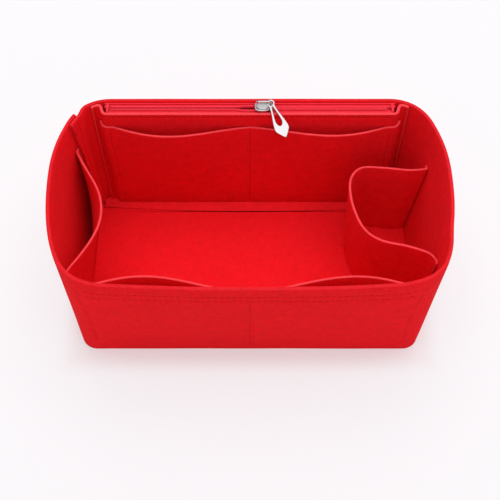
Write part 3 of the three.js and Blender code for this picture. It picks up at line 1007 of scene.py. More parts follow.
class Wardrobe:
    """Every material of the insert, built once."""

    def __init__(self) -> None:
        """Build the materials."""
        self.wall = FeltFinish("wall_felt").build()
        self.pocket = FeltFinish("pocket_face_felt", color=(0.78, 0.005, 0.010)).build()
        self.board = FeltFinish("board_face_felt", color=(0.84, 0.008, 0.014), mottle=0.25).build()
        # A dark felt for the sloped back edge of the board: painted shade on the edge that faces away from
        # the light.
        self.board_back_shade = FeltFinish("board_back_shade_felt", color=(0.55, 0.004, 0.008), fibres=0.1).build()
        # The bottom felt is brighter than the wall felt that it is cut from: painted light on the strip
        # behind the board, which lies in shade.
        self.bottom = FeltFinish("bottom_face_lightened_felt", color=(0.96, 0.014, 0.022)).build()
        # Cut edges are lighter and pinker than the faces: partly the raw fibres' own tone, partly a painted
        # highlight on the lit edges.
        self.cut = FeltFinish(
            "cut_edge_and_highlight_felt", color=(0.80, 0.047, 0.06), fibre=(0.93, 0.11, 0.13), fibres=0.3, bump_depth=0.4
        ).build()
        # The wall's rim is darker than the other cut edges: painted shade that tones down the top of the rim
        # where the lamps fall brightest.
        self.rim = FeltFinish(
            "cut_rim_shade_felt", color=(0.65, 0.011, 0.017), fibre=(0.80, 0.045, 0.06), fibres=0.25, bump_depth=0.4
        ).build()
        self.tape = TapeFinish("woven_tape_lightened").build()
        # The coil is lightened like the tape: partly its own pinker tone, partly painted light against the
        # shade of the recess under the rim.
        self.coil = ThreadFinish(
            "coil_filament_lightened", color=(0.92, 0.04, 0.07), least_roughness=0.43, specular=0.15,
            shade_spread=0.1, bump_strength=0.1,
        ).build()
        self.thread = ThreadFinish("shaded_sewing_thread").build()
        self.metal = PlatedFinish("plated_zinc").build()
        self.plastic = SheetPlasticFinish("stiffener_sheet").build()


# Stitches


@dataclass(frozen=True)
class Seam:
    """A stitched line, drawn between places on a sheet's columns and heights.

    The faces are those where its thread shows.
    """

    start: Pair
    end: Pair
    faces: tuple[Side, ...] = (Side.LEFT, Side.RIGHT)


@dataclass
class Stitching:
    """Lockstitch: separate short bights of thread that pull the felt in."""

    length: float = 3.1
    pitch: float = 4.2
    width: float = 0.6
    thickness: float = 0.44
    sag: float = 0.2
    rise: float = 0.06
    sides: int = 6
    bluntness: float = 0.75
    tangent_reach: float = 0.5

    def template(self) -> tuple[np.ndarray, list[tuple[int, ...]]]:
        """Model one bight: a round bead drawn out, with its ends dipping in.

        Returns:
            Its points by three, in millimetres, and its faces.
        """
        deselect()
        bpy.ops.mesh.primitive_uv_sphere_add(segments=self.sides, ring_count=self.sides, radius=0.5)
        bead = bpy.context.object
        points = np.array([corner.co[:] for corner in bead.data.vertices])
        faces = [tuple(face.vertices) for face in bead.data.polygons]
        bpy.data.objects.remove(bead)
        along = points[:, 2].copy()
        swell = np.sign(along) * (2 * np.abs(along)) ** self.bluntness / 2
        points = np.c_[swell * self.length, points[:, 0] * self.width, points[:, 1] * self.thickness]
        points[:, 2] -= self.sag * (2 * points[:, 0] / self.length) ** 2
        return points, faces

    def sew(
        self, name: str, runs: list[tuple[np.ndarray, np.ndarray]], wardrobe: Wardrobe, slot: str
    ) -> Object:
        """Lay bights along runs and join them into one piece.

        Args:
            name: The piece's name.
            runs: Pairs of places on a face and that face's outward normals.
            wardrobe: The materials.
            slot: The record's slot of the felt that the thread is dyed to.

        Returns:
            The thread.
        """
        points, faces = self.template()
        made_points, made_faces = [], []
        for places, normals in runs:
            along = lengths_along(places)
            count = max(int((along[-1] - self.length) / self.pitch) + 1, 1)
            first = (along[-1] - (count - 1) * self.pitch) / 2
            for number in range(count):
                centre = first + number * self.pitch
                before, middle, after = (
                    np.array([np.interp(centre + reach, along, column) for column in places.T])
                    for reach in (-self.tangent_reach, 0.0, self.tangent_reach)
                )
                out = np.array([np.interp(centre, along, column) for column in normals.T])
                tangent = (after - before) / np.linalg.norm(after - before)
                out -= tangent * out.dot(tangent)
                out /= np.linalg.norm(out)
                axes = np.array([tangent, np.cross(out, tangent), out])
                base = len(made_points) * len(points)
                made_points.append(middle + out * self.rise + points @ axes)
                made_faces.extend(tuple(base + corner for corner in face) for face in faces)
        piece = mesh_piece(name, np.vstack(made_points), made_faces)
        return dress(piece, Body.TUB, slot, [wardrobe.thread])


# Standing sheets of felt


@dataclass
class FeltSheet:
    """A sheet of felt that stands on end, swept up from a plan path."""

    plan: TubPlan
    wardrobe: Wardrobe
    node: str = ""
    name: str = ""
    slot: str = "pocket_felt"
    thickness: float = 1.8
    foot: float = 3.3
    top: float = 100.0
    spacing: float = 6.0
    cut_rounding: float = 0.4
    cut_steps: int = 3
    cut_angle: float = 60.0
    edge_thinning: float = 0.1
    edge_reach: float = 6.0
    pinch_depth: float = 0.4
    pinch_width: float = 1.0
    waver: float = 0.3
    waver_scale: float = 55.0
    bulge_foot: float = 8.5
    bulge_power: float = 1.25
    bulge_lean: float = 1.35
    seam_drop: float = 1.0
    seam_foot: float = 5.5
    trace_step: float = 1.5
    trace_reach: float = 0.001
    trace_rise: float = 1.0
    level_lines: int = 30
    finishes: tuple[str, str] = ("pocket", "cut")
    held: str = "stretched"
    rests_on: tuple[str, ...] = ()

    def columns(self) -> np.ndarray:
        """The sheet's columns, each the measure that its path reads."""
        raise NotImplementedError

    def path(self, height: float, columns: np.ndarray) -> np.ndarray:
        """The middle line at a height."""
        raise NotImplementedError

    def seams(self) -> list[Seam]:
        """The stitched lines on this sheet."""
        return []

    def seat(self) -> float:
        """How far inside the wall's outer face the sheet's middle lies when it is flat to it."""
        return self.plan.band + self.plan.gap + self.thickness / 2

    def bulge(self, height: float) -> float:
        """How far a pocket's bulge has grown at a height."""
        return (max(height - self.bulge_foot, 0.0) / (self.top - self.bulge_foot)) ** self.bulge_power

    def uprights(self, face: Side, *places: float) -> list[Seam]:
        """Upright seams at places along the sheet, which show on one face."""
        top, foot = self.top - self.seam_drop, self.seam_foot
        return [Seam((place, top), (place, foot), (face,)) for place in places]

    def at(self, column: float, height: float) -> np.ndarray:
        """One point of the middle surface."""
        return self.surface(np.array([column]), height)[0]

    def surface(self, columns: np.ndarray, height: float) -> np.ndarray:
        """Read the middle surface at one height.

        Args:
            columns: The columns to read.
            height: The height over the ground.

        Returns:
            Points by three, in millimetres.
        """
        flat = self.path(height, columns)
        points = np.c_[flat, np.full(len(flat), height)]
        for point in points:
            shift = noise.noise_vector(Vector(point) / self.waver_scale)
            point[:2] += np.array(shift[:2]) * self.waver
        return points

    def trace(self, seam: Seam) -> tuple[np.ndarray, np.ndarray]:
        """Follow a seam over the middle surface.

        Args:
            seam: The seam.

        Returns:
            Its places and the surface's normals to the left of the path.
        """
        (first, low), (last, high) = seam.start, seam.end
        length = np.linalg.norm(self.at(last, high) - self.at(first, low))
        if first != last:
            level = self.surface(np.linspace(first, last, self.level_lines), (low + high) / 2)
            length = max(length, lengths_along(level)[-1])
        count = max(int(length / self.trace_step), 2) + 1
        reach = self.trace_reach * abs(self.columns()[-1] - self.columns()[0])
        places, normals = [], []
        for share in np.linspace(0.0, 1.0, count):
            column, height = first + share * (last - first), low + share * (high - low)
            row = self.surface(np.array([column - reach, column, column + reach]), height)
            above = self.at(column, min(height + self.trace_rise, self.top))
            below = self.at(column, max(height - self.trace_rise, self.foot))
            normal = np.cross(above - below, row[2] - row[0])
            places.append(row[1])
            normals.append(normal / np.linalg.norm(normal))
        return np.array(places), np.array(normals)

    def pinch(self, points: np.ndarray, traces: list) -> np.ndarray:
        """How much the thread presses the felt together at each point.

        Args:
            points: The middle surface's points by three.
            traces: The seams' places and normals.

        Returns:
            A share for each point.
        """
        rise = np.clip((points[:, 2] - self.top) / self.edge_reach + 1.0, 0.0, 1.0)
        share = self.edge_thinning * rise
        for places, _ in traces:
            near = np.full(len(points), np.inf)
            for start, end in zip(places[:-1], places[1:]):
                along = end - start
                at = np.clip(((points - start) @ along) / along.dot(along), 0.0, 1.0)
                near = np.minimum(near, np.linalg.norm(points - start - at[:, None] * along, axis=1))
            share = np.maximum(share, self.pinch_depth * np.exp(-((near / self.pinch_width) ** 2)))
        return share

    def grid(self, seams: list[Seam]) -> tuple[np.ndarray, np.ndarray]:
        """Lay grid lines over the middle surface, closer about its seams.

        Args:
            seams: The stitched lines.

        Returns:
            The points, rows by columns by three, and their places on the flat cut.
        """
        columns = self.columns()
        middle = self.surface(columns, (self.foot + self.top) / 2)
        unit = abs(columns[-1] - columns[0]) / lengths_along(middle)[-1]
        upright = [seam.start[0] for seam in seams if seam.start[0] == seam.end[0]]
        level = [seam.start[1] for seam in seams if seam.start[1] == seam.end[1]]
        columns = refined(columns, upright, unit)
        count = max(int((self.top - self.foot) / self.spacing), 2)
        heights = refined(np.linspace(self.foot, self.top, count + 1), level, 1.0)
        points = np.stack([self.surface(columns, height) for height in heights])
        along = lengths_along(points[len(heights) // 2])
        return points, np.stack(np.meshgrid(along, heights), axis=2)

    def build(self) -> list[Object]:
        """Build the sheet and its thread.

        Returns:
            The sheet and, where it is stitched, its thread.
        """
        seams = self.seams()
        points, spans = self.grid(seams)
        finishes = [getattr(self.wardrobe, name) for name in self.finishes]
        piece = grid_piece(self.name, points, spans)
        for finish in finishes:
            piece.data.materials.append(finish)
        solid = piece.modifiers.new("felt", "SOLIDIFY")
        solid.thickness = self.thickness * MM
        solid.offset = 0.0
        solid.use_even_offset = True
        solid.use_quality_normals = True
        solid.material_offset_rim = CUT_SLOT
        apply_modifiers(piece)
        traces = [self.trace(seam) for seam in seams]
        self.press(piece, points, traces)
        rounding = piece.modifiers.new("cut", "BEVEL")
        rounding.width = self.cut_rounding * MM
        rounding.segments = self.cut_steps
        rounding.limit_method = "ANGLE"
        rounding.angle_limit = math.radians(self.cut_angle)
        rounding.material = CUT_SLOT
        apply_modifiers(piece)
        smooth_by_angle(piece, self.cut_angle)
        dress(piece, Body.TUB, self.slot, finishes, self.node)
        return [piece] + ([self.thread_up(seams, traces)] if seams else [])

    def press(self, piece: Object, points: np.ndarray, traces: list) -> None:
        """Draw both faces in towards the middle along the seams.

        Args:
            piece: The sheet, with its second face after its first.
            points: Its middle surface, rows by columns by three.
            traces: The seams' places and normals.
        """
        middle = points.reshape(-1, 3)
        corners = np.empty(len(piece.data.vertices) * 3)
        piece.data.vertices.foreach_get("co", corners)
        faces = corners.reshape(-1, len(middle), 3)
        faces[:] = (middle + (faces / MM - middle) * (1.0 - self.pinch(middle, traces)[:, None])) * MM
        piece.data.vertices.foreach_set("co", corners)
        piece.data.update()

    def thread_up(self, seams: list[Seam], traces: list) -> Object:
        """Sew the seams.

        Args:
            seams: The stitched lines.
            traces: Their places and normals.

        Returns:
            The thread.
        """
        lift = self.thickness / 2 * (1.0 - self.pinch_depth)
        runs = [
            (places + normals * face.value * lift, normals * face.value)
            for seam, (places, normals) in zip(seams, traces)
            for face in seam.faces
        ]
        return Stitching().sew(self.name + "_thread", runs, self.wardrobe, self.slot)


@dataclass
class OuterWall(FeltSheet):
    """The long strip that makes all four walls, its ends lapped at the rear left corner."""

    node: str = "outer_wall"
    name: str = "wall_strip"
    slot: str = "red_felt"
    thickness: float = 3.0
    foot: float = 0.0
    top: float = 118.0
    cut_rounding: float = 0.6
    edge_thinning: float = 0.2
    # The rim felt is the darker one, painted shade on the wall's lit top edge.
    finishes: tuple[str, str] = ("wall", "rim")
    lines: int = 380
    lap_start: float = 68.0
    lap_length: float = 10.0
    ramp_start: float = 125.0
    clear_share: float = 0.03
    rim_rows: tuple[float, ...] = (105.1, 97.8)
    row_reach: float = 113.0
    middle_row: Pair = (97.0, 5.0)
    corner_row: tuple = ((118.6, 105.0), (112.2, 5.0))
    back_row: tuple = ((118.0, 115.0), (118.0, 6.0))
    pocket_rows: Pair = (55.5, -57.0)
    pocket_span: Pair = (88.0, 5.0)
    holder_row: tuple = ((42.9, 84.0), (40.6, 9.0))
    lap_rows: Pair = (61.0, 65.2)
    lap_span: Pair = (115.0, 4.0)

    @cached_property
    def lap(self) -> tuple[float, float, float, float]:
        """The lap's places along the strip.

        Returns:
            The stations of its ramp, outer end, inner end and where it has cleared.
        """
        ramp = -float(self.plan.back(self.ramp_start, self.top, 0.0))
        seam = -float(self.plan.side(self.lap_start, self.top, 0.0))
        end = -float(self.plan.side(self.lap_start - self.lap_length, self.top, 0.0))
        return ramp, seam, end, end + (end - seam) * self.clear_share

    def shift(self, stations: np.ndarray) -> np.ndarray:
        """Work out how far the inner end steps in past the outer one.

        Args:
            stations: Stations of the left half.

        Returns:
            The step at each.
        """
        ramp, seam, _, clear = self.lap
        share = np.clip((stations - ramp) / (seam - ramp), 0.0, 1.0)
        return np.where(stations > clear, 0.0, (self.plan.band + self.plan.gap) * eased(share))

    def columns(self) -> np.ndarray:
        """Stations from the outer end round to the inner end."""
        _, seam, end, _ = self.lap
        return np.linspace(seam, end + 2 * self.plan.last, self.lines)

    def path(self, height: float, columns: np.ndarray) -> np.ndarray:
        """Read the strip's middle line at a height.

        Args:
            height: The height over the ground.
            columns: The stations.

        Returns:
            Points by two.
        """
        last = self.plan.last
        shift = np.where(columns > last, self.shift(columns - 2 * last), 0.0)
        return self.plan.at(columns, height, self.thickness / 2 + shift)

    def end(self, wall: Callable, place: float, height: float) -> Pair:
        """The end of a seam at a place on one of the plan's walls, as its station and height."""
        return float(wall(place, height, self.thickness / 2)), height

    def mirrored(self, ends: list[Pair], turn: int, face: Side) -> Seam:
        """A seam whose stations are mirrored to the left half and moved on by a turn."""
        return Seam(*((turn - station, height) for station, height in ends), (face,))

    def seams(self) -> list[Seam]:
        """List the rows along the front rim, the lap's two rows and the seams sewn from inside.

        Returns:
            The seams.
        """
        front, side, back_wall = self.plan.front, self.plan.side, self.plan.back
        turn, outside = 2 * self.plan.last, (Side.RIGHT,)
        made = [
            Seam(self.end(front, -self.row_reach, height), self.end(front, self.row_reach, height))
            for height in self.rim_rows
        ]
        made.append(Seam(*((0.0, height) for height in self.middle_row), outside))
        for sign in (1, -1):
            corner = [self.end(front, sign * length, height) for length, height in self.corner_row]
            back = [self.end(back_wall, *end) for end in self.back_row]
            made.append(Seam(*corner, outside))
            made.append(Seam(*back, outside) if sign > 0 else self.mirrored(back, turn, Side.RIGHT))
        for depth in self.pocket_rows:
            ends = [self.end(side, depth, height) for height in self.pocket_span]
            made.append(self.mirrored(ends, 0, Side.RIGHT))
        for sign in (1, -1):
            ends = [self.end(side, sign * depth, height) for depth, height in self.holder_row]
            made.append(Seam(*ends, outside))
        for depth in self.lap_rows:
            ends = [self.end(side, depth, height) for height in self.lap_span]
            made.append(self.mirrored(ends, 0, Side.RIGHT))
            made.append(self.mirrored(ends, turn, Side.LEFT))
        return made


@dataclass
class ZipPanel(FeltSheet):
    """The panel that makes the zipped pocket: flat, curled back at its ends and sewn down.

    Its columns run from 0 to 1 over the flat, on to 2 over the curl and to 3 over the flange.
    """

    node: str = "zip_pocket_panel"
    name: str = "zip_panel"
    slot: str = "red_felt"
    thickness: float = 2.5
    top: float = 118.0
    seam_drop: float = 2.0
    seam_foot: float = 6.0
    finishes: tuple[str, str] = ("wall", "cut")
    lines: tuple[int, int, int] = (42, 11, 4)
    front_foot: float = 68.3
    front_top: float = 66.7
    flat_reach: float = 108.0
    curl_handle: float = 113.5
    wall_handle: float = 110.5
    landing: float = 116.0
    flange: float = 4.0
    tape_row: float = 114.8
    tape_reach: float = 0.985
    flange_row: float = 2.5

    def columns(self) -> np.ndarray:
        """List the columns of both halves.

        Returns:
            The columns, from -3 to 3.
        """
        flat, curl, flange = self.lines
        half = np.r_[np.linspace(0, 1, flat), np.linspace(1, 2, curl)[1:], np.linspace(2, 3, flange)[1:]]
        return np.r_[-half[::-1][:-1], half]

    def front(self, height: float) -> float:
        """Depth of the panel's front face."""
        return self.front_foot + (self.front_top - self.front_foot) * height / self.plan.height

    def against_wall(self, length: np.ndarray | float, height: float) -> np.ndarray:
        """Depth of the panel's middle where it lies on the back wall."""
        return self.plan.back_depth(np.atleast_1d(length), height, self.seat())

    def path(self, height: float, columns: np.ndarray) -> np.ndarray:
        """Read the panel's middle line at a height.

        Args:
            height: The height over the ground.
            columns: The columns.

        Returns:
            Points by two.
        """
        middle = self.front(height) + self.thickness / 2
        reach = np.abs(columns)
        ends = (self.wall_handle, self.landing)
        controls = [(self.flat_reach, middle), (self.curl_handle, middle)]
        controls += [(length, float(self.against_wall(length, height)[0])) for length in ends]
        curl = bezier(controls, np.clip(reach - 1.0, 0.0, 1.0))
        landed = self.landing + self.flange * (reach - 2.0)
        landed_depth = self.against_wall(np.maximum(landed, self.landing), height)
        length = np.where(reach <= 1, reach * self.flat_reach, np.where(reach <= 2, curl[:, 0], landed))
        depth = np.where(reach <= 1, middle, np.where(reach <= 2, curl[:, 1], landed_depth))
        return np.c_[np.sign(columns) * length, depth]

    def seams(self) -> list[Seam]:
        """The row that holds the tape, and the two flanges."""
        row = Seam((-self.tape_reach, self.tape_row), (self.tape_reach, self.tape_row))
        return [row, *self.uprights(Side.RIGHT, self.flange_row, -self.flange_row)]


@dataclass
class BackPocket(FeltSheet):
    """Two slip pockets in one sheet that lies on the zip panel and bulges forward."""

    node: str = "back_slip_pocket"
    name: str = "back_pocket"
    top: float = 105.0
    lines: tuple[int, int] = (56, 7)
    left_bulge: float = 9.2
    right_bulge: float = 8.2
    half_span: float = 104.0
    curl_share: float = 4.0 / 7.0
    end_row: float = 0.994

    def __post_init__(self) -> None:
        """Measure from the panel that it lies on."""
        self.panel = ZipPanel(self.plan, self.wardrobe)

    def columns(self) -> np.ndarray:
        """List the panel's columns, as far as the pocket reaches round its curl.

        Returns:
            The columns.
        """
        flat, curl = self.lines
        half = np.r_[np.linspace(0, 1, flat), np.linspace(1, 1 + self.curl_share, curl)[1:]]
        return np.r_[-half[::-1][:-1], half]

    def path(self, height: float, columns: np.ndarray) -> np.ndarray:
        """Read the pocket's middle line at a height.

        Args:
            height: The height over the ground.
            columns: The columns.

        Returns:
            Points by two.
        """
        lie = self.panel.thickness / 2 + self.plan.gap + self.thickness / 2
        known = self.panel.columns()
        lying = offset_path(self.panel.path(height, known), -lie)
        face = np.c_[np.interp(columns, known, lying[:, 0]), np.interp(columns, known, lying[:, 1])]
        share = np.minimum(np.abs(face[:, 0]) / self.half_span, 1.0)
        reach = np.where(face[:, 0] < 0.0, self.left_bulge, self.right_bulge)
        face[:, 1] -= reach * self.bulge(height) * np.sin(math.pi * share**self.bulge_lean)
        return face

    def seams(self) -> list[Seam]:
        """The middle seam and the two ends."""
        return self.uprights(Side.RIGHT, 0.0, self.end_row, -self.end_row)


@dataclass
class FrontPocket(FeltSheet):
    """Two slip pockets in one sheet on the inside of the front wall."""

    node: str = "front_slip_pocket"
    name: str = "front_pocket"
    top: float = 103.0
    lines: int = 96
    bulge_reach: float = 12.5
    half_span: float = 117.0
    flange: float = 5.0

    def columns(self) -> np.ndarray:
        """Lengths along X."""
        return np.linspace(-self.half_span - self.flange, self.half_span + self.flange, self.lines)

    def path(self, height: float, columns: np.ndarray) -> np.ndarray:
        """Read the pocket's middle line at a height.

        Args:
            height: The height over the ground.
            columns: The lengths along X.

        Returns:
            Points by two.
        """
        seat = self.seat()
        wall = self.plan.at(self.plan.front(columns, height, seat), height, seat)
        share = np.minimum(np.abs(columns) / self.half_span, 1.0)
        grown = self.bulge_reach * self.bulge(height) * np.sin(math.pi * share**self.bulge_lean)
        return np.c_[columns, wall[:, 1] + grown]

    def seams(self) -> list[Seam]:
        """The middle seam and the two ends."""
        end = self.half_span + self.flange / 2
        return self.uprights(Side.LEFT, 0.0, end, -end)


@dataclass
class LeftPocket(FeltSheet):
    """The wide open pocket on the left wall."""

    node: str = "left_side_pocket"
    name: str = "side_pocket"
    top: float = 90.0
    lines: int = 64
    bulge_reach: float = 28.0
    back: float = 54.0
    front: float = -54.0
    back_flange: float = 3.0
    front_flange: float = 6.0

    @property
    def span(self) -> float:
        """The bulging stretch along Y."""
        return self.back - self.front

    def columns(self) -> np.ndarray:
        """Lengths from the back seam, with the flanges."""
        return np.linspace(-self.back_flange, self.span + self.front_flange, self.lines)

    def path(self, height: float, columns: np.ndarray) -> np.ndarray:
        """Read the pocket's middle line at a height.

        Args:
            height: The height over the ground.
            columns: The lengths from the back seam.

        Returns:
            Points by two.
        """
        seat = self.seat()
        marks = [self.back + self.back_flange, self.back, self.front, self.front - self.front_flange]
        stations = -self.plan.side(np.array(marks), height, seat)
        places = [-self.back_flange, 0.0, self.span, self.span + self.front_flange]
        share = np.clip(columns / self.span, 0.0, 1.0)
        grown = self.bulge_reach * self.bulge(height) * np.sin(math.pi * share)
        return self.plan.at(np.interp(columns, places, stations), height, seat + grown)

    def seams(self) -> list[Seam]:
        """The seams of the two flanges."""
        return self.uprights(Side.LEFT, -self.back_flange / 2, self.span + self.front_flange / 2)


@dataclass
class BottleHolder(FeltSheet):
    """A tall loop of felt, its ends sewn flat to the right wall."""

    node: str = "bottle_holder"
    name: str = "bottle_loop"
    foot: float = 7.4
    top: float = 86.0
    seam_foot: float = 9.4
    lines: int = 90
    reach_top: float = 62.0
    reach_foot: float = 50.0
    half_top: float = 40.5
    half_foot: float = 38.0
    flange: float = 3.0
    length: float = 166.0
    loop_shares: tuple = (
        (0, 1), (0.21, 0.97), (0.55, 1.03), (0.8, 1.03), (0.95, 0.83), (1, 0.5),
        (0.96, 0.06), (0.84, -0.36), (0.64, -0.59), (0.33, -0.71), (0.09, -0.85), (0, -1),
    )

    def columns(self) -> np.ndarray:
        """Lengths from the loop's back end, with the flanges."""
        return np.linspace(-self.flange, self.length + self.flange, self.lines)

    def against_wall(self, depth: np.ndarray, height: float) -> np.ndarray:
        """Points of the loop's middle where it lies on the right wall."""
        seat = self.seat()
        return self.plan.at(self.plan.side(depth, height, seat), height, seat)

    def path(self, height: float, columns: np.ndarray) -> np.ndarray:
        """Read the loop's middle line at a height.

        Args:
            height: The height over the ground.
            columns: The lengths from the loop's back end.

        Returns:
            Points by two.
        """
        rise = (height - self.foot) / (self.top - self.foot)
        reach = self.reach_foot + (self.reach_top - self.reach_foot) * rise
        half = self.half_foot + (self.half_top - self.half_foot) * rise
        shares = np.array(self.loop_shares, dtype=float)
        depth = shares[:, 1] * half
        knots = np.c_[self.against_wall(depth, height)[:, 0] - shares[:, 0] * reach, depth]
        loop = smooth_open(knots, columns / self.length)
        back = self.against_wall(half - np.minimum(columns, 0.0), height)
        front = self.against_wall(-half - np.maximum(columns - self.length, 0.0), height)
        made = np.where((columns < 0)[:, None], back, loop)
        return np.where((columns > self.length)[:, None], front, made)

    def seams(self) -> list[Seam]:
        """The seams of the two flanges."""
        return self.uprights(Side.RIGHT, -self.flange / 2, self.length + self.flange / 2)


# The floor


@dataclass
class Floor:
    """The sewn bottom, and the felt board that lies over its stiffener."""

    plan: TubPlan
    wall: OuterWall
    wardrobe: Wardrobe
    lines: int = 600
    bow_lines: int = 60
    past_lap: float = 1e-3
    bottom_felt: float = 3.0
    board_foot: float = 4.6
    board_felt: float = 2.5
    foot_inset: float = 5.15
    wall_inset: float = 3.1
    inset_spread: int = 2
    front_reach: float = 118.5
    side_start: float = -55.5
    board_back: float = 60.2
    board_bow: float = 5.0
    edge_slope: float = 1.6
    edge_reach: float = 123.0
    edge_margin: float = 1.5
    edge_facing: float = 0.3
    rounding: float = 0.5

    def bottom_outline(self) -> np.ndarray:
        """Follow the wall inside at its foot, stepping in past the lap.

        Returns:
            The outline's points by two.
        """
        last = float(self.plan.last)
        end, clear = self.wall.lap[2:]
        stations = np.unique(np.r_[np.linspace(-last, last, self.lines), end, clear, clear + self.past_lap])
        inset = self.plan.band + self.plan.gap + self.wall.shift(stations)
        return self.plan.at(stations, 0.0, inset)[:-1]

    def board_outline(self) -> np.ndarray:
        """Draw the board out to the walls, or to a pocket's foot where one is sewn, with a bowed back.

        Returns:
            The outline's points by two.
        """
        height = self.board_foot + self.board_felt / 2
        end = float(self.plan.side(self.board_back, height, self.foot_inset))
        stations = np.linspace(-end, end, self.lines)
        near = self.plan.at(stations, height, self.foot_inset)
        front = (near[:, 1] < 0.0) & (np.abs(near[:, 0]) < self.front_reach)
        side = (near[:, 0] < 0.0) & (near[:, 1] > self.side_start)
        inset = np.where(front | side, self.foot_inset, self.wall_inset) + self.wall.shift(stations)
        spread = self.inset_spread
        widened = np.max([np.roll(inset, turn) for turn in range(-spread, spread + 1)], axis=0)
        window = np.hanning(2 * spread + 1)
        settled = np.convolve(np.pad(widened, spread, mode="edge"), window / window.sum(), mode="valid")
        rim = self.plan.at(stations, height, settled)
        bow = [rim[-1], (0.0, rim[-1][1] - 2 * self.board_bow), rim[0]]
        return np.vstack([rim, bezier(bow, np.linspace(0, 1, self.bow_lines))[1:-1]])

    def slope_back(self, board: Object) -> None:
        """Cut the board's back edge on a slope and give the cut a darker felt, painted shade on the edge that
        faces away from the light.

        Args:
            board: The board in its place.
        """
        start = (self.board_back - self.board_bow - self.edge_margin) * MM
        low, tall = (self.board_foot + self.rounding) * MM, (self.board_felt - self.rounding) * MM
        slope, reach = self.edge_slope * MM, self.edge_reach * MM
        for vertex in board.data.vertices:
            corner = vertex.co
            if corner.y > start and abs(corner.x) < reach:
                corner.y -= slope * min(max((corner.z - low) / tall, 0.0), 1.0)
        board.data.update()
        # The back-facing faces take the dark felt of the painted edge shade.
        for face in board.data.polygons:
            if face.center.y > start - slope and face.normal.y > self.edge_facing and face.center.z > low:
                face.material_index = CUT_SLOT

    def build(self) -> list[Object]:
        """Build the bottom and the board.

        Returns:
            Both pieces.
        """
        outline, shape = self.bottom_outline(), self.board_outline()
        bottom = raised_plate("bottom_felt", [outline], 0.0, self.bottom_felt, self.rounding)
        board = raised_plate("base_board", [shape], self.board_foot, self.board_felt, self.rounding)
        board_finishes = [self.wardrobe.board, self.wardrobe.board_back_shade]
        for finish in board_finishes:
            board.data.materials.append(finish)
        self.slope_back(board)
        dress(bottom, Body.TUB, "red_felt", [self.wardrobe.bottom], "bottom_panel")
        dress(board, Body.TUB, "board_felt", board_finishes, "base_insert")
        return [bottom, board]


# The zipper


